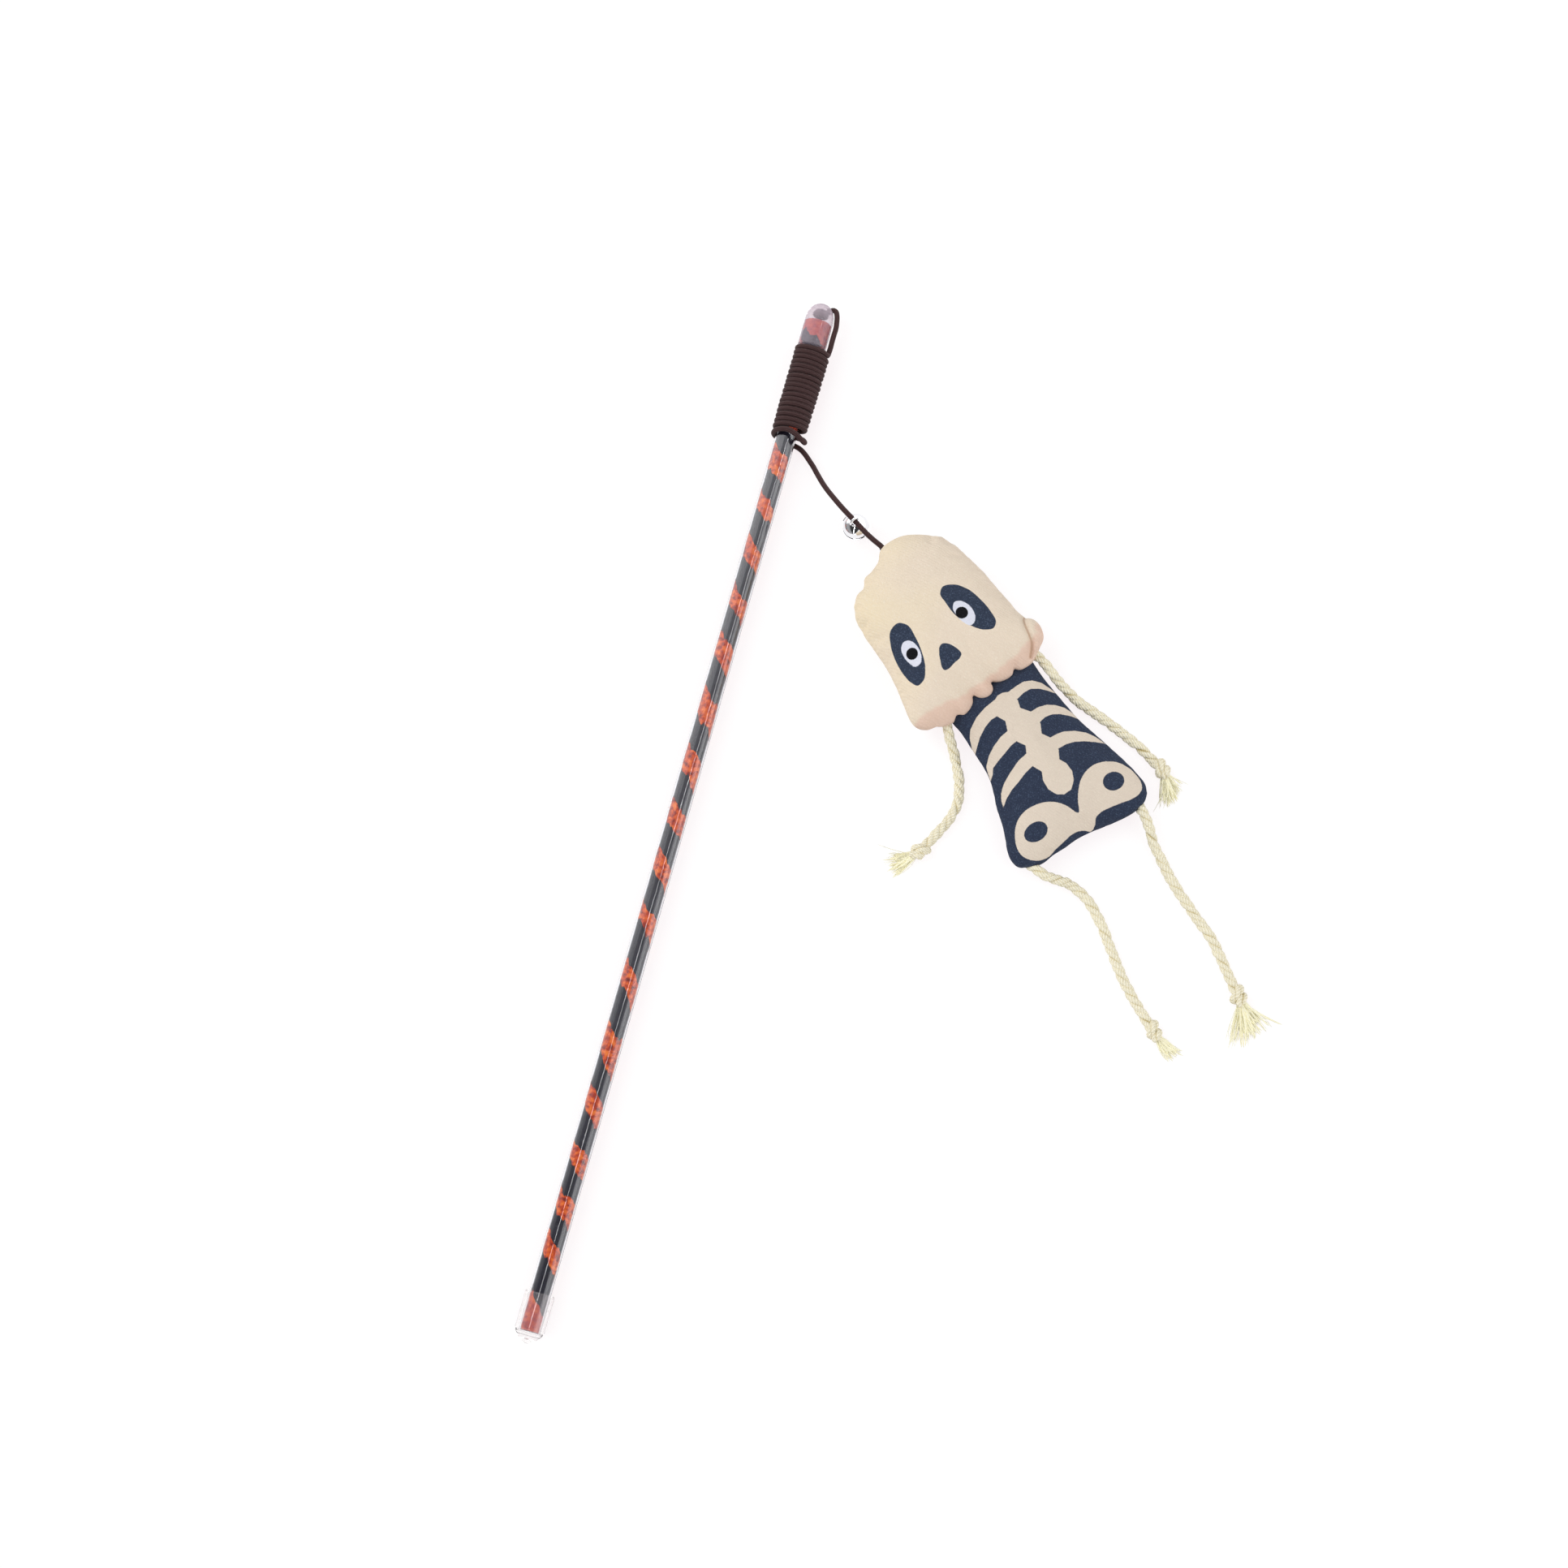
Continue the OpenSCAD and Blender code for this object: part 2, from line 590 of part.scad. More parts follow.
// A limb's pivot on the torso's seam, and its route from there down to the table
rope_r = rope_d / 2;
knot_r = knot_d / 2;
function limb_pivot(exit_shares, exit_turn) =
    let (p = [exit_shares[0] * torso_len, exit_shares[1] * torso_w] + turned([rope_r + gap, 0], exit_turn))
    [p[0], p[1], torso_seam];
function limb_path(exit_shares, exit_turn, route) =
    let (pivot = limb_pivot(exit_shares, exit_turn))
    concat([pivot], [for (r = route)
        [pivot[0] + r[0], pivot[1] + r[1], torso_seam + (rope_r - torso_seam) * r[2]]]);
function path_end(path) = path[len(path) - 1];
function end_ahead(path) = unit(flat(path_end(path)) - flat(path[len(path) - 2]));

module limb_rope(exit_shares, exit_turn, route) {
    color([0.93, 0.89, 0.74]) stand() at_torso()
        round_started_cord(limb_path(exit_shares, exit_turn, route), rope_r);
}

// A knot is two rounded turns over the rope's end, one past the other in line with the rope
knot_turn_shares = [0.6, 1.4];
module limb_knot(exit_shares, exit_turn, route) {
    path = limb_path(exit_shares, exit_turn, route);
    ahead = end_ahead(path);
    end = path_end(path);
    color([0.9, 0.86, 0.7]) stand() at_torso()
        translate([end[0], end[1], knot_r]) rotate([0, 90, atan2(ahead[1], ahead[0])])
        union() {
            for (share = knot_turn_shares) translate([0, 0, knot_r * share]) sphere(r = knot_r);
        }
}

// A tassel is a flat fan of loose yarn that starts inside the knot and widens to its frayed end
tassel_shares = [[0, 0.5, 1], [0.25, 0.7, 0.95], [0.6, 1.3, 0.75], [1, 2, 0.4]];
module limb_tassel(exit_shares, exit_turn, route, end_turn, length, spread) {
    path = limb_path(exit_shares, exit_turn, route);
    ahead = end_ahead(path);
    start = flat(path_end(path)) + ahead * knot_r * 1.3;
    out = turned([1, 0], end_turn);
    fan = [for (s = tassel_shares)
        let (p = start + out * length * s[0]) [p[0], p[1], tassel_thick / 2 * s[2]]];
    wide = [for (s = tassel_shares) spread / 4 * s[1]];
    high = [for (s = tassel_shares) tassel_thick / 2 * s[2]];
    color([0.95, 0.92, 0.76]) stand() at_torso()
        swept(fan, [for (p = fan) [0, 0, 1]], wide, high, cord_sides);
}

module left_arm_rope() { limb_rope(left_arm_exit_shares, left_arm_exit_turn, left_arm_route); }
module left_arm_knot() { limb_knot(left_arm_exit_shares, left_arm_exit_turn, left_arm_route); }
module left_arm_tassel() {
    limb_tassel(left_arm_exit_shares, left_arm_exit_turn, left_arm_route, left_arm_end_turn,
        arm_tassel_len, arm_tassel_len);
}

module right_arm_rope() { limb_rope(right_arm_exit_shares, right_arm_exit_turn, right_arm_route); }
module right_arm_knot() { limb_knot(right_arm_exit_shares, right_arm_exit_turn, right_arm_route); }
module right_arm_tassel() {
    limb_tassel(right_arm_exit_shares, right_arm_exit_turn, right_arm_route, right_arm_end_turn,
        arm_tassel_len, arm_tassel_len);
}

module left_leg_rope() { limb_rope(left_leg_exit_shares, left_leg_exit_turn, left_leg_route); }
module left_leg_knot() { limb_knot(left_leg_exit_shares, left_leg_exit_turn, left_leg_route); }
module left_leg_tassel() {
    limb_tassel(left_leg_exit_shares, left_leg_exit_turn, left_leg_route, left_leg_end_turn,
        leg_tassel_len, leg_tassel_len * 0.7);
}

module right_leg_rope() { limb_rope(right_leg_exit_shares, right_leg_exit_turn, right_leg_route); }
module right_leg_knot() { limb_knot(right_leg_exit_shares, right_leg_exit_turn, right_leg_route); }
module right_leg_tassel() {
    limb_tassel(right_leg_exit_shares, right_leg_exit_turn, right_leg_route, right_leg_end_turn,
        leg_tassel_len, leg_tassel_len * 1.3);
}

wand_tube();
black_liner();
orange_strip();
upper_cap();
lower_cap();
stop_knot();
tip_run();
cord_winding();
lead_cord();
bell_upper_shell();
bell_lower_shell();
bell_eyelet();
bell_pellet();
head_front_panel();
head_back_panel();
head_filling();
anchor_knot();
torso_front_panel();
torso_back_panel();
torso_filling();
left_arm_rope();
left_arm_knot();
left_arm_tassel();
right_arm_rope();
right_arm_knot();
right_arm_tassel();
left_leg_rope();
left_leg_knot();
left_leg_tassel();
right_leg_rope();
right_leg_knot();
right_leg_tassel();
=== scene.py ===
"""Looks of a cat teaser wand: a tube with a striped lining, an elastic cord with a bell, and a stuffed doll.

Every surface is a parametric one, made with numpy in mm in the CAD model's frame and handed over in metres.
"""
import logging
import math
from dataclasses import dataclass, field
from enum import Enum

import bpy
import numpy as np
from mathutils import Matrix, Vector


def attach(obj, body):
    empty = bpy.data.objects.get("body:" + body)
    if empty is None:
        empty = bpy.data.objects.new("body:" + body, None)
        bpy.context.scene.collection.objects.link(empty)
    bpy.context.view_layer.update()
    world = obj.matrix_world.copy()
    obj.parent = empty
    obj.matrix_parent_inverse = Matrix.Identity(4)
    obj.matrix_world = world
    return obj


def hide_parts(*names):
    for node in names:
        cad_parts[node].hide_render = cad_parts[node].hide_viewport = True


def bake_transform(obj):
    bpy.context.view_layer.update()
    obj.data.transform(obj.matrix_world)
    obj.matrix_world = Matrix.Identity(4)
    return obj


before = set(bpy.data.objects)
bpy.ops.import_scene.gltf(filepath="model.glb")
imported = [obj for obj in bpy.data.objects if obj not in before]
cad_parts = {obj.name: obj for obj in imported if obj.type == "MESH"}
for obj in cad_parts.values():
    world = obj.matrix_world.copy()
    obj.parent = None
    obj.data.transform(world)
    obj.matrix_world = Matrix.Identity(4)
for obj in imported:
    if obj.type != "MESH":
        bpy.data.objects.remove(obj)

LOG = logging.getLogger("teaser")
MM = 0.001

Points = np.ndarray
Material, Object = bpy.types.Material, bpy.types.Object
Tree, Node, Socket = bpy.types.NodeTree, bpy.types.Node, bpy.types.NodeSocket


class Body(Enum):
    """The CAD bodies that pieces ride on. A limb's body has the limb's own name."""

    WAND = "wand"
    LEAD = "lead"
    DOLL = "doll"


@dataclass(frozen=True)
class Place:
    """A flat frame on the table: an origin in mm and a turn in degrees."""

    x: float
    y: float
    turn: float

    def lay(self, points: Points) -> Points:
        """Carries points from this frame into the model's.

        Formula: p = o + R(turn) q, with z kept.

        Args:
            points: (n, 3) points in this frame, in mm.

        Returns:
            (n, 3) points in the model's frame, in mm.
        """
        c, s = math.cos(math.radians(self.turn)), math.sin(math.radians(self.turn))
        out = np.array(points, float)
        out[..., 0], out[..., 1] = (
            self.x + c * points[..., 0] - s * points[..., 1],
            self.y + s * points[..., 0] + c * points[..., 1],
        )
        return out


# Frames of the wand, head and torso, the wand's axis height and the two pivots, in mm, as in the CAD model
WAND_PLACE = Place(-79.1145, -200.0, 0.0)
HEAD_PLACE = Place(-32.0944, 110.894, -39.2)
TORSO_PLACE = Place(21.3345, 67.698, -43.7)
AXIS_Z = 6.06
LEAD_PIVOT = (-68.5019, 139.815, 2.66)
DOLL_PIVOT = (-33.1019, 111.715, 11.56)


# Curves and surfaces


def smooth_path(points: Points, spacing: float) -> Points:
    """Carries a smooth curve through the points and spaces new ones evenly along it.

    Formula: a cubic Hermite piece between neighbours, p(t) = h00 p0 + h10 d m0 + h01 p1 + h11 d m1,
    with chord lengths d as the parameter and tangents m from the unevenly spaced differences.

    Args:
        points: (n, k) points that the curve goes through.
        spacing: Distance between the new points.

    Returns:
        (m, k) points along the curve.
    """
    p = np.array(points, float)
    d = np.linalg.norm(np.diff(p, axis=0), axis=1)
    slope = np.diff(p, axis=0) / d[:, None]
    m = np.vstack([slope[:1], slope, slope[-1:]])
    w0, w1 = np.r_[d[:1], d], np.r_[d, d[-1:]]
    tangent = (m[:-1] * w1[:, None] + m[1:] * w0[:, None]) / (w0 + w1)[:, None]
    fine = max(4, int(np.ceil(d.max() / spacing)) * 4)
    t = np.linspace(0, 1, fine, endpoint=False)[None, :, None]
    p0, p1 = p[:-1, None], p[1:, None]
    m0, m1 = tangent[:-1, None] * d[:, None, None], tangent[1:, None] * d[:, None, None]
    curve = (
        (2 * t**3 - 3 * t**2 + 1) * p0
        + (t**3 - 2 * t**2 + t) * m0
        + (3 * t**2 - 2 * t**3) * p1
        + (t**3 - t**2) * m1
    )
    curve = np.vstack([curve.reshape(-1, p.shape[1]), p[-1:]])
    run = run_along(curve)
    count = max(2, int(round(run[-1] / spacing)) + 1)
    return at_lengths(curve, run, np.linspace(0, run[-1], count))


def run_along(path: Points) -> Points:
    """Measures how far along a path each of its points lies.

    Args:
        path: (n, k) points.

    Returns:
        (n,) lengths from the first point.
    """
    return np.r_[0, np.cumsum(np.linalg.norm(np.diff(path, axis=0), axis=1))]


def at_lengths(path: Points, run: Points, wanted: Points) -> Points:
    """Finds the points at given lengths along a path.

    Args:
        path: (n, k) points.
        run: (n,) their lengths along the path.
        wanted: (m,) lengths.

    Returns:
        (m, k) points.
    """
    return np.column_stack([np.interp(wanted, run, path[:, k]) for k in range(path.shape[1])])


def path_length(path: Points) -> float:
    """Measures a path.

    Args:
        path: (n, 3) points.

    Returns:
        Its length in the points' unit.
    """
    return float(np.linalg.norm(np.diff(path, axis=0), axis=1).sum())


def carried_frames(path: Points) -> tuple[Points, Points, Points]:
    """Finds frames along a path that turn as little as they can.

    Formula: double reflection, where each normal is the last one mirrored in the plane between
    two points and again in the plane between the two tangents.

    Args:
        path: (n, 3) points.

    Returns:
        Tangents, normals and binormals, each (n, 3).
    """
    tangent = np.gradient(path, axis=0)
    tangent /= np.linalg.norm(tangent, axis=1)[:, None]
    start = np.cross(tangent[0], (0.0, 0.0, 1.0))
    if np.linalg.norm(start) < 0.1:
        start = np.cross(tangent[0], (1.0, 0.0, 0.0))
    normal = np.empty_like(path)
    normal[0] = start / np.linalg.norm(start)
    for i in range(len(path) - 1):
        v1 = path[i + 1] - path[i]
        r = normal[i] - 2 / (v1 @ v1) * (v1 @ normal[i]) * v1
        t = tangent[i] - 2 / (v1 @ v1) * (v1 @ tangent[i]) * v1
        v2 = tangent[i + 1] - t
        size = v2 @ v2
        normal[i + 1] = r - (2 / size * (v2 @ r) * v2 if size > 1e-16 else 0)
        normal[i + 1] /= np.linalg.norm(normal[i + 1])
    return tangent, normal, np.cross(tangent, normal)


def ripple(x: Points, seed: int, size: float, waves: int = 24) -> Points:
    """A smooth random line, or surface where x has several columns.

    Formula: f(x) = sqrt(2/n) sum cos(w_i . x / size + q_i), with w_i normal of spread 2.2 and q_i
    even round the circle, so that it is about 1 high.

    Args:
        x: (..., k) places.
        seed: Seed of the random waves.
        size: Width of the bumps, in x's unit.
        waves: How many waves are added.

    Returns:
        (...) heights.
    """
    rng = np.random.default_rng(seed)
    places = x[..., None] if x.ndim == 1 else x
    turn = rng.normal(size=(places.shape[-1], waves)) * 2.2
    phase = rng.uniform(0, 2 * math.pi, waves)
    return np.cos(places @ turn / size + phase).sum(-1) * math.sqrt(2 / waves)


@dataclass
class Patch:
    """Grids of points joined into one mesh.

    Attributes:
        points: (n, 3) points in mm.
        quads: (m, 4) corners of the faces.
        uv: (m, 4, 2) place of each face corner on the surface, in mm or turns.
        ends: Closing faces with many corners.
        marks: Named values of each point.
    """

    points: Points
    quads: Points
    uv: Points
    ends: list[list[int]] = field(default_factory=list)
    marks: dict[str, Points] = field(default_factory=dict)


def grid_patch(grid: Points, wrap: bool, u: Points, v: Points, closed: bool = False) -> Patch:
    """Makes the faces of a grid of points.

    Args:
        grid: (rows, columns, 3) points.
        wrap: Whether the last column joins the first.
        u: (columns,) or with wrap (columns + 1,) places across.
        v: (rows,) places along.
        closed: Whether the first and last row get a closing face.

    Returns:
        The patch, with normals outwards where the columns turn about the rows' direction.
    """
    rows, cols = grid.shape[:2]
    i, j = np.meshgrid(np.arange(rows - 1), np.arange(cols if wrap else cols - 1), indexing="ij")
    k = (j + 1) % cols
    quads = np.stack([i * cols + j, i * cols + k, (i + 1) * cols + k, (i + 1) * cols + j], -1)
    corner = [(i, j), (i, j + 1), (i + 1, j + 1), (i + 1, j)]
    uv = np.stack([np.stack([u[b], v[a]], -1) for a, b in corner], -2)
    ends = []
    if closed:
        ends = [list(range(cols))[::-1], [(rows - 1) * cols + c for c in range(cols)]]
    return Patch(grid.reshape(-1, 3), quads.reshape(-1, 4), uv.reshape(-1, 4, 2), ends)


def joined(patches: list[Patch]) -> Patch:
    """Joins patches into one.

    Args:
        patches: The patches, each with the same marks.

    Returns:
        One patch with all their faces.
    """
    starts = np.r_[0, np.cumsum([len(p.points) for p in patches])[:-1]]
    return Patch(
        np.vstack([p.points for p in patches]),
        np.vstack([p.quads + s for p, s in zip(patches, starts)]),
        np.vstack([p.uv for p in patches]),
        [[int(c + s) for c in end] for p, s in zip(patches, starts) for end in p.ends],
        {name: np.concatenate([p.marks[name] for p in patches]) for name in patches[0].marks},
    )


def tube(path: Points, radius: float | Points, sides: int) -> Patch:
    """Carries a circle along a path, and closes the ends as half spheres.

    Formula: s(i, a) = c_i + r_i (cos a N_i + sin a B_i), and within one radius of a rounded end
    r shrinks as sqrt(1 - (1 - d/r)^2).

    Args:
        path: (n, 3) centre line in mm.
        radius: Radius, or one for each point.
        sides: Points round the tube.

    Returns:
        The tube, with u in turns and v in mm.
    """
    run = run_along(path)
    r = np.broadcast_to(np.asarray(radius, float), (len(path),)).copy()
    ahead = np.minimum(run, run[-1] - run) / r
    r *= np.sqrt(np.clip(1 - np.clip(1 - ahead, 0, 1) ** 2, 0.0025, 1))
    _, normal, binormal = carried_frames(path)
    turn = np.linspace(0, 2 * math.pi, sides, endpoint=False)
    ring = np.cos(turn)[None, :, None] * normal[:, None] + np.sin(turn)[None, :, None] * binormal[:, None]
    grid = path[:, None] + r[:, None, None] * ring
    return grid_patch(grid, True, np.linspace(0, 1, sides + 1), run, closed=True)


def end_spaced(path: Points, radius: float, steps: int = 5) -> Points:
    """Adds closely spaced points at both ends of a path, so that a rounded end comes out round.

    Args:
        path: (n, 3) points.
        radius: Radius of the rounded ends.
        steps: Points in each rounded end.

    Returns:
        The path with its ends divided more finely.
    """
    run = run_along(path)
    fine = radius * (1 - np.cos(np.linspace(0, math.pi / 2, steps + 1)))
    middle = run[(run > radius * 1.05) & (run < run[-1] - radius * 1.05)]
    new = np.r_[fine, middle, run[-1] - fine[::-1]]
    return at_lengths(path, run, new)


def laid(patch: Patch, place: Place) -> Patch:
    """Carries a patch from a frame into the model's.

    Args:
        patch: The patch.
        place: The frame that it is in.

    Returns:
        The carried patch.
    """
    return Patch(place.lay(patch.points), patch.quads, patch.uv, patch.ends, patch.marks)


def make_object(name: str, patch: Patch, material: Material) -> Object:
    """Puts a patch into Blender.

    Args:
        name: Name of the piece.
        patch: Its surface, in mm.
        material: Its material.

    Returns:
        The new object at the origin, shaded smooth.
    """
    faces = patch.quads.tolist() + patch.ends
    mesh = bpy.data.meshes.new(name)
    mesh.from_pydata(patch.points * MM, [], faces)
    layer = mesh.uv_layers.new(name="surface")
    spare = sum(len(end) for end in patch.ends)
    layer.data.foreach_set("uv", np.r_[patch.uv.reshape(-1), np.zeros(spare * 2)].astype(np.float32))
    for mark, values in patch.marks.items():
        mesh.attributes.new(mark, "FLOAT", "POINT").data.foreach_set("value", values.astype(np.float32))
    mesh.polygons.foreach_set("use_smooth", np.full(len(mesh.polygons), True))
    mesh.materials.append(material)
    mesh.update()
    piece = bpy.data.objects.new(name, mesh)
    bpy.context.scene.collection.objects.link(piece)
    LOG.info("%s: %d points, %d faces", name, len(mesh.vertices), len(mesh.polygons))
    return piece


# Materials


# A wave texture of this scale has one wave in one unit of its coordinate
WAVE = math.pi / 10


def linear(colour: str) -> tuple[float, float, float, float]:
    """Turns a screen colour into a linear one.

    Formula: c <= 0.04045: c / 12.92, else ((c + 0.055) / 1.055)^2.4.

    Args:
        colour: Six hexadecimal digits.

    Returns:
        Red, green, blue and full opacity.
    """
    c = np.array([int(colour[i : i + 2], 16) for i in (0, 2, 4)]) / 255
    c = np.where(c <= 0.04045, c / 12.92, ((c + 0.055) / 1.055) ** 2.4)
    return (*map(float, c), 1.0)


def add(tree: Tree, kind: str, inputs: dict | None = None, stops: list | None = None, **settings) -> Node:
    """Adds a node.

    Args:
        tree: The node tree.
        kind: The node's type, without the ShaderNode that all start with.
        inputs: Value, output socket or node, for its first output, by the input's name or number.
        stops: (place, colour) pairs of a colour ramp.
        **settings: The node's own settings.

    Returns:
        The node.
    """
    node = tree.nodes.new("ShaderNode" + kind)
    for name, value in settings.items():
        setattr(node, name, value)
    for name, value in (inputs or {}).items():
        value = value.outputs[0] if isinstance(value, Node) else value
        if isinstance(value, Socket):
            tree.links.new(value, node.inputs[name])
        else:
            node.inputs[name].default_value = value
    for i, (place, colour) in enumerate(stops or []):
        ramp = node.color_ramp.elements
        element = ramp[i] if i < len(ramp) else ramp.new(place)
        element.position, element.color = place, colour
    return node


# Numbers of the colour sockets of a mix node
MIX_A, MIX_B, MIX_OUT = 6, 7, 2


@dataclass(frozen=True)
class Finish:
    """What every finish shares: its name, and how its shader becomes a material."""

    name: str

    def surface(self, tree: Tree) -> Socket:
        """Builds the finish's shader."""
        raise NotImplementedError(self.name)

    def make(self) -> Material:
        """Builds the material.

        Returns:
            The material.
        """
        material = bpy.data.materials.new(self.name)
        material.use_nodes = True
        tree = material.node_tree
        tree.nodes.clear()
        out = add(tree, "OutputMaterial")
        tree.links.new(self.surface(tree), out.inputs[0])
        return material


@dataclass(frozen=True)
class ClearPlastic(Finish):
    """Clear extruded or moulded plastic: glassy, with faint drawn lines that break up its highlights.

    Where a cap grips the tube the two touch, so the join between them can't be seen and what is
    inside looks wider. The soft caps are a little milky, and cloudier where the plastic is thick:
    cloud gives where that starts and ends along the wand in mm, and the share of milk there.
    """

    tint: str
    roughness: float
    ior: float
    line_size: float
    line_depth: float
    milk: float = 0.0
    milk_tint: str = "d6c6d4"
    cloud: tuple[float, float, float] | None = None
    grip: float | None = None
    middle: tuple[float, float, float] | None = None

    def surface(self, tree: Tree) -> Socket:
        """Builds the shader.

        Light that feels its way to a lamp or leaves the lining passes straight through,
        so that what is inside is lit.

        Args:
            tree: The material's node tree.

        Returns:
            The shader's output.
        """
        place = add(tree, "TexCoord")
        stretch = add(tree, "Mapping", {"Vector": place.outputs["Object"], "Scale": (1.0, 0.03, 1.0)})
        lines = add(tree, "TexNoise", {"Vector": stretch, "Scale": 1 / (self.line_size * MM), "Detail": 3.0})
        bump = add(tree, "Bump", {"Height": lines, "Strength": self.line_depth, "Distance": 0.1 * MM})
        glass = add(tree, "BsdfPrincipled", {
            "Base Color": linear(self.tint), "Transmission Weight": 1.0, "Roughness": self.roughness,
            "IOR": self.ior, "Normal": bump})
        skin = glass.outputs[0]
        if self.milk:
            haze = add(tree, "BsdfDiffuse", {"Color": linear(self.milk_tint)})
            milk = self.milk
            if self.cloud is not None:
                start, end, most = self.cloud
                parts = add(tree, "SeparateXYZ", {0: place.outputs["Object"]})
                milk = add(tree, "MapRange", {
                    0: parts.outputs[1], 1: start * MM, 2: end * MM, 3: self.milk, 4: most}).outputs[0]
            skin = add(tree, "MixShader", {0: milk, 1: skin, 2: haze}).outputs[0]
        passing = add(tree, "BsdfTransparent", {"Color": linear(self.tint)})
        ray = add(tree, "LightPath")
        through = add(tree, "Math", {0: ray.outputs["Is Shadow Ray"], 1: ray.outputs["Is Diffuse Ray"]},
            operation="MAXIMUM")
        unseen = add(tree, "Math", {0: through, 1: self.join(tree, place) or 0.0}, operation="MAXIMUM")
        mix = add(tree, "MixShader", {0: unseen, 1: skin, 2: passing})
        return mix.outputs[0]

    def join(self, tree: Tree, place: Node) -> Socket | None:
        """Finds the faces that touch another clear piece.

        For a cap these are its inward faces, for the tube its end beyond the grip's start.

        Args:
            tree: The node tree.
            place: The coordinates' node.

        Returns:
            1 on such faces and 0 elsewhere, or nothing where no face touches.
        """
        if self.grip is not None:
            parts = add(tree, "SeparateXYZ", {0: place.outputs["Object"]})
            return add(tree, "Math", {0: parts.outputs[1], 1: self.grip * MM},
                operation="GREATER_THAN").outputs[0]
        if self.middle is None:
            return None
        face = add(tree, "NewGeometry")
        away = add(tree, "VectorMath", {0: place.outputs["Object"], 1: tuple(v * MM for v in self.middle)},
            operation="SUBTRACT")
        facing = add(tree, "VectorMath", {0: away, 1: face.outputs["True Normal"]}, operation="DOT_PRODUCT")
        inward = add(tree, "Math", {0: facing.outputs["Value"], 1: 0.0}, operation="LESS_THAN")
        flip = add(tree, "Math", {0: inward, 1: face.outputs["Backfacing"]}, operation="SUBTRACT")
        return add(tree, "Math", {0: flip}, operation="ABSOLUTE").outputs[0]


@dataclass(frozen=True)
class LiningFilm(Finish):
    """Black film rolled inside the tube: satin, a little crinkled, with a bluish cast."""

    name: str = "black_film"
    colour: str = "14121b"
    worn: str = "22202c"
    crinkle: float = 2.4

    def surface(self, tree: Tree) -> Socket:
        """Builds the shader.

        Args:
            tree: The material's node tree.

        Returns:
            The shader's output.
        """
        place = add(tree, "TexCoord")
        cloud = add(tree, "TexNoise", {"Vector": place.outputs["Object"], "Scale": 1 / (self.crinkle * MM),
            "Detail": 4.0})
        colour = add(tree, "Mix", {0: cloud, MIX_A: linear(self.colour), MIX_B: linear(self.worn)},
            data_type="RGBA")
        bump = add(tree, "Bump", {"Height": cloud, "Strength": 0.35, "Distance": 0.3 * MM})
        film = add(tree, "BsdfPrincipled", {"Base Color": colour.outputs[MIX_OUT], "Roughness": 0.3,
            "Specular IOR Level": 0.4, "Normal": bump})
        return film.outputs[0]


@dataclass(frozen=True)
class FuzzyStrip(Finish):
    """Orange fuzzy strip: crumbly fibres with red depths and brown specks, redder towards the tip."""

    name: str = "orange_fuzz"
    light: str = "f07c2a"
    middle: str = "d8521a"
    deep: str = "a62a14"
    speck: str = "581c10"
    tip: str = "b83a3c"
    fibre: float = 0.8

    def surface(self, tree: Tree) -> Socket:
        """Builds the shader.

        Args:
            tree: The material's node tree.

        Returns:
            The shader's output.
        """
        place = add(tree, "TexCoord")
        clumps = add(tree, "TexNoise", {"Vector": place.outputs["Object"], "Scale": 1 / (1.8 * MM),
            "Detail": 4.0, "Roughness": 0.6})
        colour = add(tree, "ValToRGB", {0: clumps}, stops=[(0.31, linear(self.speck)),
            (0.42, linear(self.deep)), (0.52, linear(self.middle)), (0.66, linear(self.light))])
        along = add(tree, "Attribute", attribute_name="tipward")
        redder = add(tree, "Mix", {0: along.outputs["Fac"], MIX_A: colour, MIX_B: linear(self.tip)},
            data_type="RGBA")
        fibres = add(tree, "TexNoise", {"Vector": place.outputs["Object"], "Scale": 1 / (self.fibre * MM),
            "Detail": 5.0})
        bump = add(tree, "Bump", {"Height": fibres, "Strength": 0.8, "Distance": 0.35 * MM})
        fuzz = add(tree, "BsdfPrincipled", {
            "Base Color": redder.outputs[MIX_OUT], "Roughness": 0.75, "Specular IOR Level": 0.25,
            "Sheen Weight": 0.3, "Sheen Roughness": 0.5, "Normal": bump})
        return fuzz.outputs[0]


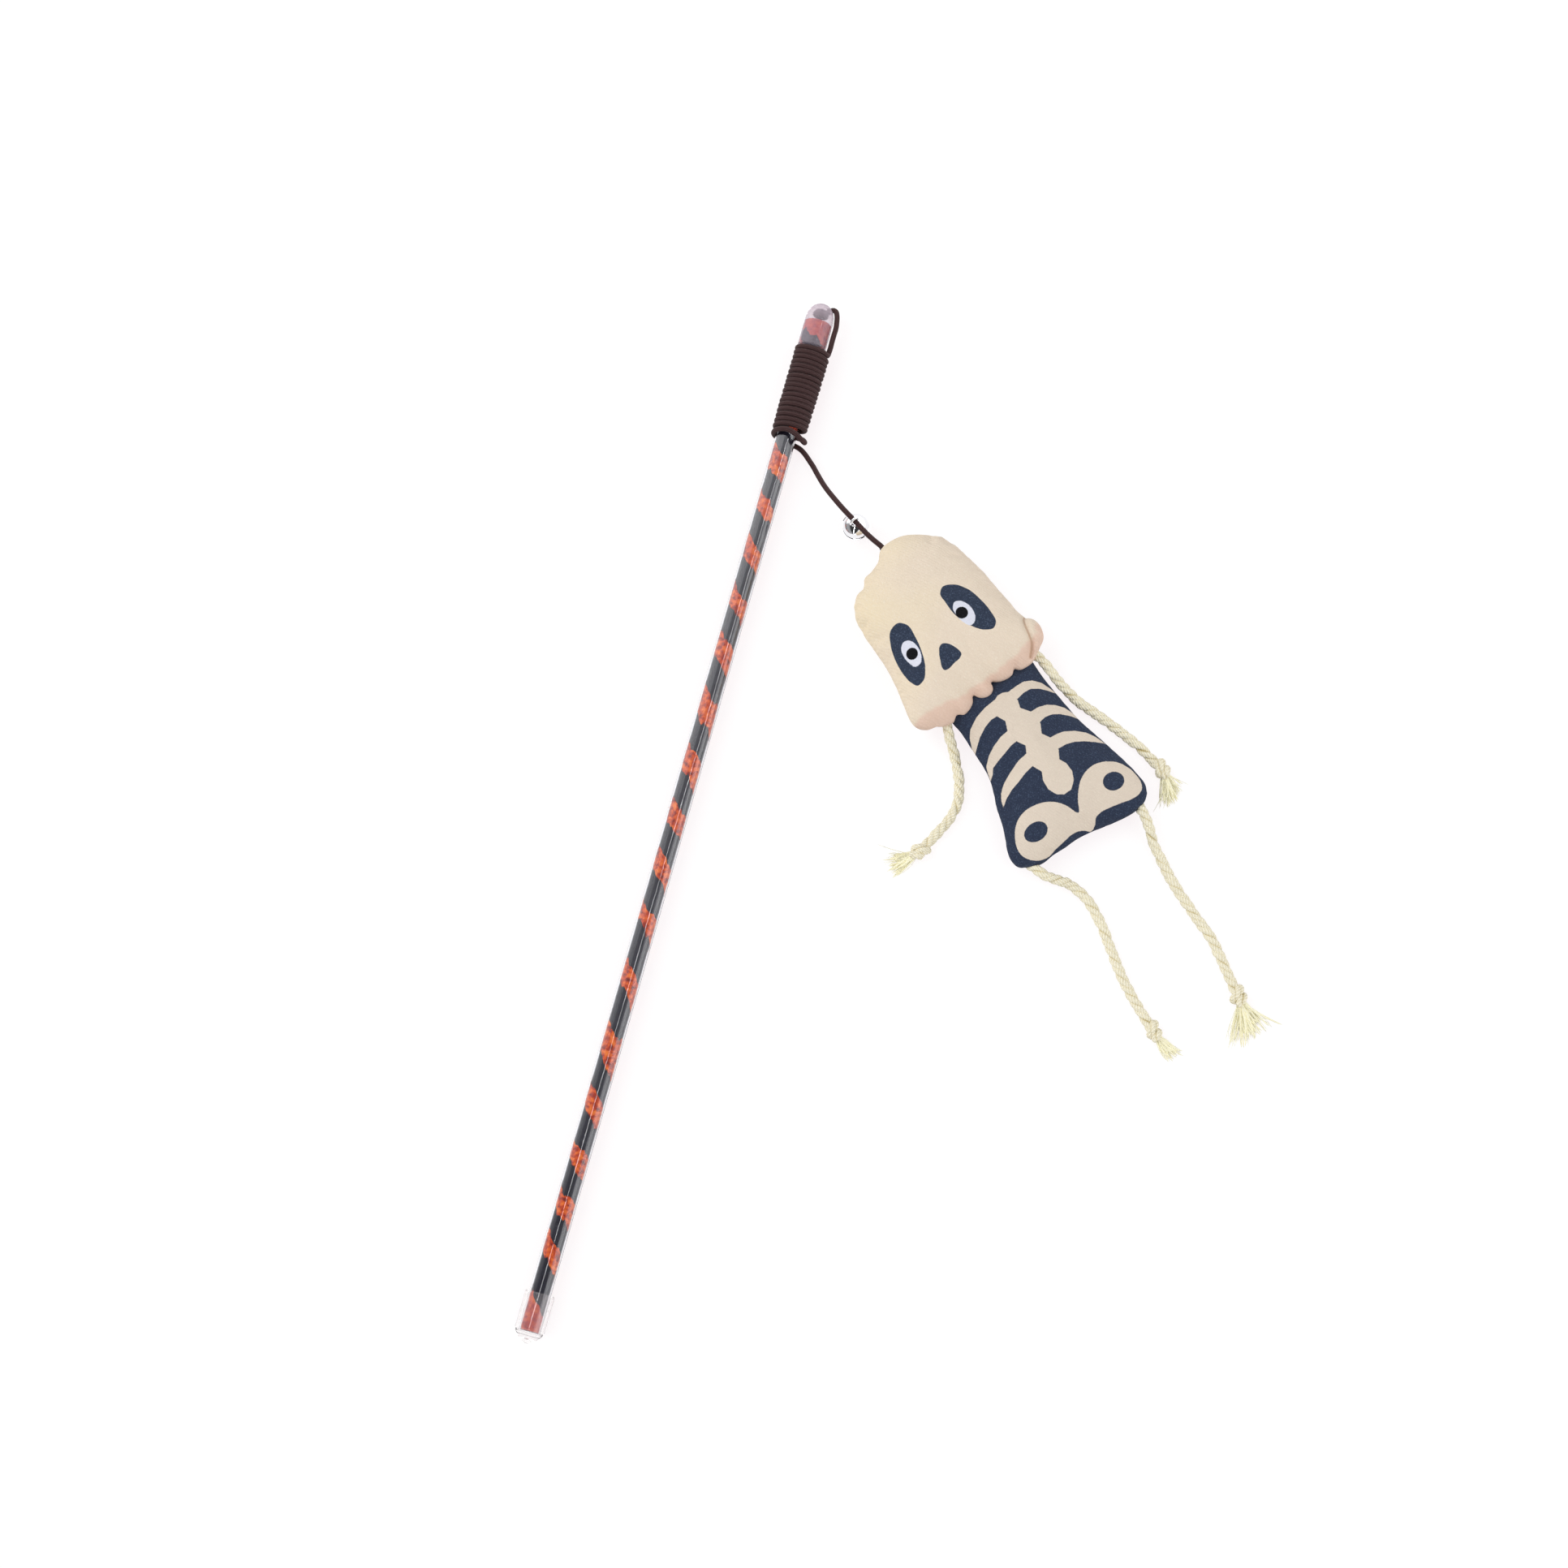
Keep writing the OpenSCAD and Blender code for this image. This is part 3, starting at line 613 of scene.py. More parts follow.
@dataclass(frozen=True)
class BraidedElastic(Finish):
    """Brown elastic cord: a fine braid over rubber, seen as lengthwise ribs with slanting threads, with
    painted shade in the grooves between the ribs.
    """

    name: str = "elastic_cord"
    rib: str = "463131"
    groove: str = "332121"
    ribs: int = 9
    thread: float = 0.7
    knotted: bool = False

    def surface(self, tree: Tree) -> Socket:
        """Builds the shader.

        Args:
            tree: The material's node tree.

        Returns:
            The shader's output.
        """
        place = add(tree, "TexCoord")
        lay = place.outputs["Object" if self.knotted else "UV"]
        width = 1.2 / MM if self.knotted else float(self.ribs)
        length = 1 / (self.thread * (MM if self.knotted else 1.0))
        across = add(tree, "Mapping", {"Vector": lay, "Scale": (width, 0.0, 0.0)})
        rib = add(tree, "TexWave", {"Vector": across, "Scale": WAVE, "Distortion": 0.0}, bands_direction="X")
        slant = add(tree, "Mapping", {"Vector": lay, "Scale": (width * 2.0, length, 0.0),
            "Rotation": (0.0, 0.0, 0.5)})
        thread = add(tree, "TexWave", {"Vector": slant, "Scale": WAVE, "Distortion": 1.0, "Detail": 1.0},
            bands_direction="Y")
        height = add(tree, "Math", {0: thread.outputs[1], 1: 0.35, 2: rib.outputs[1]},
            operation="MULTIPLY_ADD")
        # Painted shade: the grooves between the ribs take the darker groove colour
        colour = add(tree, "Mix", {0: rib.outputs[1], MIX_A: linear(self.groove), MIX_B: linear(self.rib)},
            data_type="RGBA")
        bump = add(tree, "Bump", {"Height": height, "Strength": 0.7, "Distance": 0.12 * MM})
        braid = add(tree, "BsdfPrincipled", {
            "Base Color": colour.outputs[MIX_OUT], "Roughness": 0.7, "Specular IOR Level": 0.22,
            "Sheen Weight": 0.04, "Sheen Roughness": 0.4, "Normal": bump})
        return braid.outputs[0]


@dataclass(frozen=True)
class PlatedSteel(Finish):
    """Nickel-plated steel: mirror-bright on the shell, duller on the pellet, with faint haze."""

    colour: str
    roughness: float
    haze: float

    def surface(self, tree: Tree) -> Socket:
        """Builds the shader.

        Args:
            tree: The material's node tree.

        Returns:
            The shader's output.
        """
        place = add(tree, "TexCoord")
        cloud = add(tree, "TexNoise", {"Vector": place.outputs["Object"], "Scale": 1 / (1.2 * MM),
            "Detail": 4.0})
        rough = add(tree, "MapRange", {0: cloud, 3: self.roughness, 4: self.roughness + self.haze})
        bump = add(tree, "Bump", {"Height": cloud, "Strength": 0.05, "Distance": 0.2 * MM})
        steel = add(tree, "BsdfPrincipled", {
            "Base Color": linear(self.colour), "Metallic": 1.0, "Roughness": rough, "Normal": bump})
        return steel.outputs[0]


@dataclass(frozen=True)
class PrintLayer:
    """One printed colour, or painted shade such as along the cheek's crease: the named value is its distance
    inside the shape's edge in mm.
    """

    mark: str
    colour: str
    speck: str
    softness: float = 0.12


@dataclass(frozen=True)
class PrintedCloth(Finish):
    """Short plush knit with a dyed print: rows of loops a millimetre apart, soft nap, uneven dye; where
    given, a painted warm light tint and layers of painted shade.
    """

    ground: str
    shade: str
    ground_speck: str
    layers: tuple[PrintLayer, ...]
    row: float = 1.0
    warm: str = ""
    twill: float = 0.3

    def surface(self, tree: Tree) -> Socket:
        """Builds the shader.

        Args:
            tree: The material's node tree.

        Returns:
            The shader's output.
        """
        place = add(tree, "TexCoord")
        mottle = add(tree, "TexNoise", {"Vector": place.outputs["Object"], "Scale": 1 / (6.0 * MM),
            "Detail": 3.0})
        nap = add(tree, "TexNoise", {"Vector": place.outputs["Object"], "Scale": 1 / (0.55 * MM),
            "Detail": 3.0, "Roughness": 0.7})
        loops = add(tree, "TexNoise", {"Vector": place.outputs["Object"], "Scale": 1 / (0.95 * MM),
            "Detail": 2.0, "Roughness": 0.6})
        speck = add(tree, "MapRange", {0: nap, 1: 0.52, 2: 0.74})
        colour = add(tree, "Mix", {0: mottle, MIX_A: linear(self.ground), MIX_B: linear(self.shade)},
            data_type="RGBA").outputs[MIX_OUT]
        # Painted light: a yellower tint towards the head's top-left, where the light falls
        if self.warm:
            lean = add(tree, "Attribute", attribute_name="warm")
            colour = add(tree, "Mix", {0: lean.outputs["Fac"], MIX_A: colour, MIX_B: linear(self.warm)},
                data_type="RGBA").outputs[MIX_OUT]
        colour = add(tree, "Mix", {0: speck, MIX_A: colour, MIX_B: linear(self.ground_speck)},
            data_type="RGBA").outputs[MIX_OUT]
        # Print layers, and layers of painted shade such as the one along the head's crease
        for layer in self.layers:
            edge = add(tree, "Attribute", attribute_name=layer.mark)
            uneven = add(tree, "Math", {0: nap, 1: 0.3, 2: edge.outputs["Fac"]}, operation="MULTIPLY_ADD")
            inside = add(tree, "MapRange", {0: uneven, 1: 0.15 - layer.softness, 2: 0.15 + layer.softness},
                interpolation_type="SMOOTHSTEP")
            ink = add(tree, "Mix", {0: speck, MIX_A: linear(layer.colour), MIX_B: linear(layer.speck)},
                data_type="RGBA")
            colour = add(tree, "Mix", {0: inside, MIX_A: colour, MIX_B: ink.outputs[MIX_OUT]},
                data_type="RGBA").outputs[MIX_OUT]
        rows = add(
            tree, "Mapping",
            {"Vector": place.outputs["UV"], "Scale": (1 / self.row, 1 / self.row, 0.0),
                "Rotation": (0.0, 0.0, -0.44)})
        twill = add(tree, "TexWave", {"Vector": rows, "Scale": WAVE, "Distortion": 2.6, "Detail": 3.0,
            "Detail Scale": 2.0}, bands_direction="Y")
        pile = add(tree, "Math", {0: loops, 1: 0.9, 2: nap}, operation="MULTIPLY_ADD")
        height = add(tree, "Math", {0: twill.outputs[1], 1: self.twill, 2: pile}, operation="MULTIPLY_ADD")
        bump = add(tree, "Bump", {"Height": height, "Strength": 0.8, "Distance": 0.27 * MM})
        cloth = add(tree, "BsdfPrincipled", {
            "Base Color": colour, "Roughness": 0.95, "Specular IOR Level": 0.1,
            "Sheen Weight": 0.05, "Sheen Roughness": 0.6, "Normal": bump})
        return cloth.outputs[0]


@dataclass(frozen=True)
class CottonYarn(Finish):
    """Undyed cotton: pale yellow yarn that lets some light through, with painted shade, a deeper colour,
    between its strands and fibres.

    Attributes:
        light: Colour of the yarn.
        deep: Colour of the painted shade between the strands.
        yarns: Yarns round a strand.
        lay: How steeply they slant.
        thin: Share of the light that passes on to what lies behind.
        depth: Depth of the relief in mm.
    """

    light: str
    deep: str
    yarns: float
    lay: float
    thin: float
    depth: float

    def surface(self, tree: Tree) -> Socket:
        """Builds the shader.

        Args:
            tree: The material's node tree.

        Returns:
            The shader's output.
        """
        place = add(tree, "TexCoord")
        slant = add(tree, "Mapping", {"Vector": place.outputs["UV"],
            "Scale": (self.yarns, self.yarns / self.lay, 0.0)})
        parts = add(tree, "SeparateXYZ", {0: slant})
        phase = add(tree, "Math", {0: parts, 1: parts.outputs[1]}, operation="ADD")
        spin = add(tree, "CombineXYZ", {0: phase})
        yarn = add(tree, "TexWave", {"Vector": spin, "Scale": WAVE, "Distortion": 0.0}, bands_direction="X")
        fibre = add(tree, "TexNoise", {"Vector": place.outputs["Object"], "Scale": 1 / (0.6 * MM),
            "Detail": 4.0, "Roughness": 0.6})
        height = add(tree, "Math", {0: yarn.outputs[1], 1: 1.0, 2: fibre}, operation="MULTIPLY_ADD")
        # Painted shade: deeper colour where the yarns' relief is low and, by the groove mark, between the
        # strands
        gap = add(tree, "MapRange", {0: height, 1: 1.1, 2: 0.4, 3: 0.0, 4: 0.75})
        groove = add(tree, "Attribute", attribute_name="groove")
        shade = add(tree, "Math", {0: gap, 1: 0.55, 2: groove.outputs["Fac"]}, operation="MULTIPLY_ADD",
            use_clamp=True)
        colour = add(tree, "Mix", {0: shade, MIX_A: linear(self.light), MIX_B: linear(self.deep)},
            data_type="RGBA")
        bump = add(tree, "Bump", {"Height": height, "Strength": 0.8, "Distance": self.depth * MM})
        cotton = add(tree, "BsdfPrincipled", {"Base Color": colour.outputs[MIX_OUT], "Roughness": 0.9,
            "Specular IOR Level": 0.1, "Normal": bump})
        passing = add(tree, "BsdfTransparent", {"Color": (1, 1, 0.94, 1)})
        ray = add(tree, "LightPath")
        thin = add(tree, "Math", {0: ray.outputs["Is Shadow Ray"], 1: self.thin}, operation="MULTIPLY")
        mix = add(tree, "MixShader", {0: thin, 1: cotton, 2: passing})
        return mix.outputs[0]


def dress_node(name: str, material: Material) -> None:
    """Gives a carried-over CAD node its material.

    Args:
        name: The node's name.
        material: The material for all its slots.
    """
    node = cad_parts[name]
    if not node.data.materials:
        node.data.materials.append(material)
    for i in range(len(node.data.materials)):
        node.data.materials[i] = material
    for slot in node.material_slots:
        slot.material = material


# Camera and studio


@dataclass(frozen=True)
class PhotoCamera:
    """The photograph's camera: place in mm, bearing, tilt from straight down and roll in degrees.

    Its lens and sensor are in mm, and near and far, in metres, are where it starts and stops seeing.
    """

    x: float = 112.8825
    y: float = -181.938
    z: float = 1023.103
    bearing: float = 38.3056
    tilt: float = 14.0
    roll: float = 23.5
    lens: float = 66.0
    sensor: float = 36.0
    near: float = 0.01
    far: float = 20.0

    def build(self) -> Object:
        """Makes the camera and makes it the scene's.

        Returns:
            The camera object.
        """
        a, t, r = (math.radians(v) for v in (self.bearing, self.tilt, self.roll))
        level = Vector((-math.sin(a), math.cos(a), 0))
        side = Vector((math.cos(a), math.sin(a), 0))
        ahead = math.sin(t) * level - math.cos(t) * Vector((0, 0, 1))
        over = math.cos(t) * level + math.sin(t) * Vector((0, 0, 1))
        right = side * math.cos(r) - over * math.sin(r)
        up = side * math.sin(r) + over * math.cos(r)
        data = bpy.data.cameras.new("photo_camera")
        data.lens, data.sensor_width = self.lens, self.sensor
        data.clip_start, data.clip_end = self.near, self.far
        camera = bpy.data.objects.new("photo_camera", data)
        turned = Matrix((right, up, -ahead)).transposed().to_4x4()
        camera.matrix_world = Matrix.Translation(Vector((self.x, self.y, self.z)) * MM) @ turned
        bpy.context.scene.collection.objects.link(camera)
        bpy.context.scene.camera = camera
        return camera


@dataclass(frozen=True)
class SoftBox:
    """A rectangular studio light: place and aim in metres, size, and the brightness of its face."""

    name: str
    place: tuple[float, float, float]
    aim: tuple[float, float, float]
    width: float
    height: float
    brightness: float

    def build(self) -> Object:
        """Makes the light. Reflections see the room's own painted lights instead.

        Formula: power = pi x brightness x area, so that its face has the brightness asked for.

        Returns:
            The light object.
        """
        data = bpy.data.lights.new(self.name, "AREA")
        data.shape, data.size, data.size_y = "RECTANGLE", self.width, self.height
        data.energy = math.pi * self.brightness * self.width * self.height
        light = bpy.data.objects.new(self.name, data)
        light.location = self.place
        light.rotation_euler = (Vector(self.aim) - Vector(self.place)).to_track_quat("-Z", "Y").to_euler()
        light.visible_glossy = light.visible_transmission = False
        bpy.context.scene.collection.objects.link(light)
        return light


@dataclass(frozen=True)
class RoomLook:
    """What reflections see overhead, by angle from the zenith towards +X and by lean towards +Y.

    Each pair is the value where the view leans towards -Y and where it leans towards +Y. The soft
    values are half the widths of the two edges, and strip_core is the share of the strip that is
    fully bright.
    """

    lean: tuple[float, float] = (-0.02, 0.33)
    left_edge: tuple[float, float] = (-0.84, -0.02)
    right_edge: tuple[float, float] = (0.9, 0.88)
    left: tuple[float, float] = (0.36, 2.1)
    middle: tuple[float, float] = (0.04, 0.9)
    right: tuple[float, float] = (2.0, 2.6)
    strip: tuple[float, float] = (-0.014, 0.67)
    left_soft: float = 0.14
    right_soft: float = 0.2
    strip_width: float = 0.05
    strip_core: float = 0.6
    strip_level: float = 7.5

    def level(self, tree: Tree) -> Socket:
        """Paints the studio's lights on the room.

        Formula: angle = atan2(x, z), lean = y / hypot(x, z); the level is left, middle or right by
        the angle, plus the strip light where the angle is near its own.

        Args:
            tree: The world's node tree.

        Returns:
            The brightness in each direction.
        """
        place = add(tree, "TexCoord")
        way = add(tree, "SeparateXYZ", {0: place.outputs["Generated"]})
        angle = add(tree, "Math", {0: way, 1: way.outputs[2]}, operation="ARCTAN2").outputs[0]
        flat = add(tree, "VectorMath", {0: place.outputs["Generated"], 1: (1.0, 0.0, 1.0)},
            operation="MULTIPLY")
        size = add(tree, "VectorMath", {0: flat}, operation="LENGTH")
        slope = add(tree, "Math", {0: way.outputs[1], 1: size.outputs["Value"]}, operation="DIVIDE")

        def lean(pair: tuple[float, float]) -> Socket:
            """Blends a pair by how far the view leans.

            Args:
                pair: The values towards -Y and towards +Y.

            Returns:
                The blended value.
            """
            return add(tree, "MapRange", {
                0: slope, 1: self.lean[0], 2: self.lean[1], 3: pair[0], 4: pair[1]}).outputs[0]

        def past(edge: tuple[float, float], soft: float) -> Socket:
            """Tells whether the view's angle is past an edge.

            Args:
                edge: The edge's pair of angles.
                soft: Half the edge's width.

            Returns:
                0 before the edge and 1 past it.
            """
            beyond = add(tree, "Math", {0: angle, 1: lean(edge)}, operation="SUBTRACT").outputs[0]
            return add(tree, "MapRange", {
                0: beyond, 1: -soft, 2: soft}, interpolation_type="SMOOTHSTEP").outputs[0]

        near = add(tree, "Mix", {0: past(self.left_edge, self.left_soft), 2: lean(self.left),
            3: lean(self.middle)})
        both = add(tree, "Mix", {0: past(self.right_edge, self.right_soft), 2: near, 3: lean(self.right)})
        off = add(tree, "Math", {0: angle, 1: lean(self.strip)}, operation="SUBTRACT")
        far = add(tree, "Math", {0: off}, operation="ABSOLUTE")
        strip = add(tree, "MapRange", {0: far, 1: self.strip_width * self.strip_core, 2: self.strip_width,
            3: self.strip_level, 4: 0.0})
        return add(tree, "Math", {0: both, 1: strip}, operation="ADD").outputs[0]


@dataclass(frozen=True)
class BurntPaper(Finish):
    """Burnt-out white paper that keeps a faint, slightly pink shadow; colours are linear."""

    name: str = "white_paper"
    real: tuple[float, ...] = (0.82, 0.81, 0.81, 1)
    shade: tuple[float, ...] = (0.16, 0.24, 0.22, 1)
    glow: tuple[float, ...] = (0.88, 0.80, 0.82, 1)

    def surface(self, tree: Tree) -> Socket:
        """Builds the shader: plain paper to diffuse light, and glowing paper to everything else.

        Args:
            tree: The material's node tree.

        Returns:
            The shader's output.
        """
        ray = add(tree, "LightPath")
        seen = add(tree, "Math", {0: 1.0, 1: ray.outputs["Is Diffuse Ray"]}, operation="SUBTRACT")
        real = add(tree, "BsdfDiffuse", {"Color": self.real})
        shade = add(tree, "BsdfDiffuse", {"Color": self.shade})
        glow = add(tree, "Emission", {"Color": self.glow, "Strength": 1.0})
        both = add(tree, "AddShader", {0: shade, 1: glow})
        return add(tree, "MixShader", {0: seen, 1: real, 2: both}).outputs[0]


@dataclass(frozen=True)
class Studio:
    """White table and room, with a big softbox on the left and a smaller one on the right."""

    floor_size: float = 8.0
    fill: float = 0.58
    look: RoomLook = RoomLook()
    boxes: tuple[SoftBox, ...] = (
        SoftBox("left_softbox", (-1.15, 0.1, 0.95), (-0.05, 0.0, 0.0), 1.5, 2.2, 1.5),
        SoftBox("right_softbox", (1.25, -0.1, 0.62), (-0.05, 0.0, 0.0), 0.9, 2.2, 1.45),
    )

    def build(self) -> None:
        """Builds the floor, the room's light and the lamps."""
        size = self.floor_size / 2
        mesh = bpy.data.meshes.new("floor")
        mesh.from_pydata([(-size, -size, 0), (size, -size, 0), (size, size, 0), (-size, size, 0)], [],
            [(0, 1, 2, 3)])
        mesh.materials.append(BurntPaper().make())
        floor = bpy.data.objects.new("floor", mesh)
        bpy.context.scene.collection.objects.link(floor)
        self.room()
        for box in self.boxes:
            box.build()

    def room(self) -> None:
        """Makes the room.

        It is white to the eye and through clear plastic, a soft fill to diffuse light, and has
        painted lights in reflections. Light that leaves the lining and then passes the tube counts
        as reflected.
        """
        world = bpy.data.worlds.new("room")
        world.use_nodes = True
        bpy.context.scene.world = world
        tree = world.node_tree
        tree.nodes.clear()
        ray = add(tree, "LightPath")
        unreflected = add(tree, "Math", {0: ray.outputs["Glossy Depth"], 1: 0.5}, operation="LESS_THAN")
        through = add(tree, "Math", {0: ray.outputs["Is Transmission Ray"], 1: unreflected},
            operation="MULTIPLY")
        seen = add(tree, "Math", {0: ray.outputs["Is Camera Ray"], 1: through}, operation="MAXIMUM")
        fill = add(tree, "Mix", {0: ray.outputs["Is Glossy Ray"], 2: self.fill, 3: self.look.level(tree)})
        strength = add(tree, "Mix", {0: seen, 2: fill, 3: 1.0})
        back = add(tree, "Background", {"Color": (1, 1, 1, 1), "Strength": strength})
        add(tree, "OutputWorld", {0: back})
        bpy.context.scene.view_settings.view_transform = "Standard"


# The elastic cord


@dataclass(frozen=True)
class CordSizes:
    """Sizes of the elastic cord in mm, in the wand's own frame: x from its axis, y from its butt.

    The lead is in the model's frame.
    """

    diameter: float = 2.0
    wind_r: float = 5.06
    turns: int = 17
    right_first: float = 380.2
    right_last: float = 350.3
    left_first: float = 381.0
    left_last: float = 349.3
    points_a_turn: int = 40
    bulge_first: float = 1.8
    bulge_last: float = 1.2
    tip: tuple = ((1.3, 396.3, 6.06), (2.9, 397.7, 6.1), (4.2, 398.7, 6.2), (5.3, 398.3, 6.3),
        (6.1, 396.8, 6.4), (6.7, 394.4, 6.5), (7.1, 391.7, 6.7), (7.1, 388.9, 6.9), (7.1, 386.2, 6.9),
        (7.1, 383.8, 6.5), (6.9, 381.7, 5.9))
    hitch: tuple = (
        (-3.6, 348.9, 2.5), (0.0, 348.3, 1.0), (3.9, 347.7, 2.1), (6.2, 346.7, 4.4), (7.4, 345.5, 6.3),
        (7.7, 344.7, 8.0), (6.6, 345.0, 9.9), (4.2, 346.1, 11.7), (1.1, 347.0, 12.2), (-2.2, 346.8, 11.2),
        (-4.2, 346.4, 8.8), (-4.8, 346.1, 6.06), (-3.5, 345.9, 2.6), (0.0, 345.3, 1.0), (3.4, 344.7, 1.2),
        (5.5, 343.9, 1.8), (7.2, 342.8, 2.4), (8.8, 341.5, 2.6))
    lead: tuple = (LEAD_PIVOT, (-67.0363, 138.455, 2.66), (-64.5019, 135.515, 4.36),
        (-59.5019, 130.015, 7.66), (-54.1019, 125.215, 10.66), (-49.6019, 121.715, 12.06),
        (-43.6, 117.815, 12.16), (-37.6019, 113.915, 12.06), (-34.9019, 112.515, 11.86), DOLL_PIVOT,
        (-31.4, 110.7, 11.4), (-29.8, 109.5, 11.3))
    exit: tuple = (3.4, 398.1, 6.1)
    blend_reach: float = 3.0
    blend_turn: float = -43.0
    uneven: float = 0.13
    swell: float = 0.010
    sides: int = 16


class ElasticCord:
    """One cord from the stop knot in the cap, down round the tube, through its hitch and out to the doll."""

    def __init__(self, sizes: CordSizes) -> None:
        """Keeps the sizes."""
        self.sizes = sizes

    def winding(self) -> Points:
        """The tight turns, over the top from right to left and back beneath.

        Formula: p(a) = (R cos a + b (1 + cos a) / 2, y, R sin a) with a from 0 up, where y goes from
        the turn's right height to its left one over the top, and on to the next turn's right height
        beneath, and b is how far the turns stand off on the right.

        Returns:
            (n, 3) points in the wand's frame.
        """
        s = self.sizes
        count = s.points_a_turn * s.turns - s.points_a_turn // 2
        a = np.linspace(0, 2 * math.pi * (s.turns - 0.5), count + 1)
        half = np.arange(2 * s.turns)
        turn = half // 2 / (s.turns - 1)
        right = s.right_first + (s.right_last - s.right_first) * turn
        left = s.left_first + (s.left_last - s.left_first) * turn
        uneven = s.uneven * ripple(half * 1.0, 6, 1.5)
        y = np.interp(a, half * math.pi, np.where(half % 2 == 0, right, left) + uneven)
        swell = s.wind_r * (1 + s.swell * ripple(a, 5, 3.0))
        bulge = s.bulge_first + (s.bulge_last - s.bulge_first) * a / a[-1]
        x = swell * np.cos(a) + bulge * (1 + np.cos(a)) / 2
        return np.column_stack([x, y, AXIS_Z + swell * np.sin(a)])[1:]

    def path(self) -> Points:
        """The whole route.

        Returns:
            (n, 3) points in the model's frame, in mm.
        """
        s = self.sizes
        tip = smooth_path(np.array(s.tip), 0.7)
        wand = np.vstack([tip, self.winding(), np.array(s.hitch)])
        route = np.vstack([WAND_PLACE.lay(wand), np.array(s.lead)])
        return smooth_path(route, 0.5)

    def build(self, material: Material) -> Object:
        """Args:
            material: The braid's material.

        Returns:
            The cord.
        """
        s = self.sizes
        path = self.path()
        piece = make_object("elastic_cord", tube(end_spaced(path, s.diameter / 2), s.diameter / 2, s.sides),
            material)
        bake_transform(piece)
        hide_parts("tip_run", "cord_winding", "lead_cord")
        mouth = WAND_PLACE.lay(np.array(s.exit)) * MM
        LOG.info("cord length %.1f mm", path_length(path))
        return piece


# The wand


@dataclass(frozen=True)
class WandSizes:
    """Sizes of the lining in mm.

    Attributes:
        film_r: Radius of the film.
        strip_r: Radius of the strip.
        start: Where both start along the wand.
        end: Where both end.
        edge_tip: (turn, height) of the strip's upper edge along the line on top.
        edge_butt: The same of its lower edge.
        steps_a_turn: Points of the strip in one turn.
        across: Points across the strip.
        ragged: How ragged its edges are.
        crumbs: (height, size) of the random lines that make an edge ragged.
        redder: (start, width, share) of the stretches in which the strip turns redder.
        film_rows: Points along the film.
        film_cols: Points round it.
        waver: How far film and strip waver.
    """

    film_r: float = 3.32
    strip_r: float = 3.42
    start: float = 4.6
    end: float = 392.6
    edge_tip: tuple = ((-0.5, 402.0), (0.0, 399.0), (0.3, 396.0), (0.55, 390.0), (1, 377.4), (2, 359.0),
        (3, 339.6), (4, 319.8), (5, 303.2), (6, 282.4), (7, 264.9), (8, 242.5), (9, 219.7), (10, 199.0),
        (11, 180.4), (12, 159.6), (13, 137.6), (14, 114.5), (15, 91.6), (16, 70.4), (17, 54.2), (18, 37.4),
        (19, 14.5), (20, -6.0))
    edge_butt: tuple = ((-0.5, 390.5), (-0.25, 388.3), (0.0, 386.0), (0.25, 384.4), (0.6, 376.0), (1, 367.0),
        (2, 350.0), (3, 329.8), (4, 313.8), (5, 294.5), (6, 275.3), (7, 254.4), (8, 231.3), (9, 210.1),
        (10, 191.2), (11, 171.8), (12, 152.3), (13, 128.2), (14, 101.4), (15, 82.4), (16, 63.4), (17, 45.6),
        (18, 28.6), (19, 2.0), (20, -18.0))
    steps_a_turn: int = 120
    across: int = 14
    ragged: float = 0.75
    crumbs: tuple = ((0.75, 0.9), (0.45, 0.35), (0.2, 0.12))
    redder: tuple = ((300, 160, 0.4), (379, 6, 0.4), (18, -6, 0.5))
    film_rows: int = 260
    film_cols: int = 72
    waver: float = 0.03


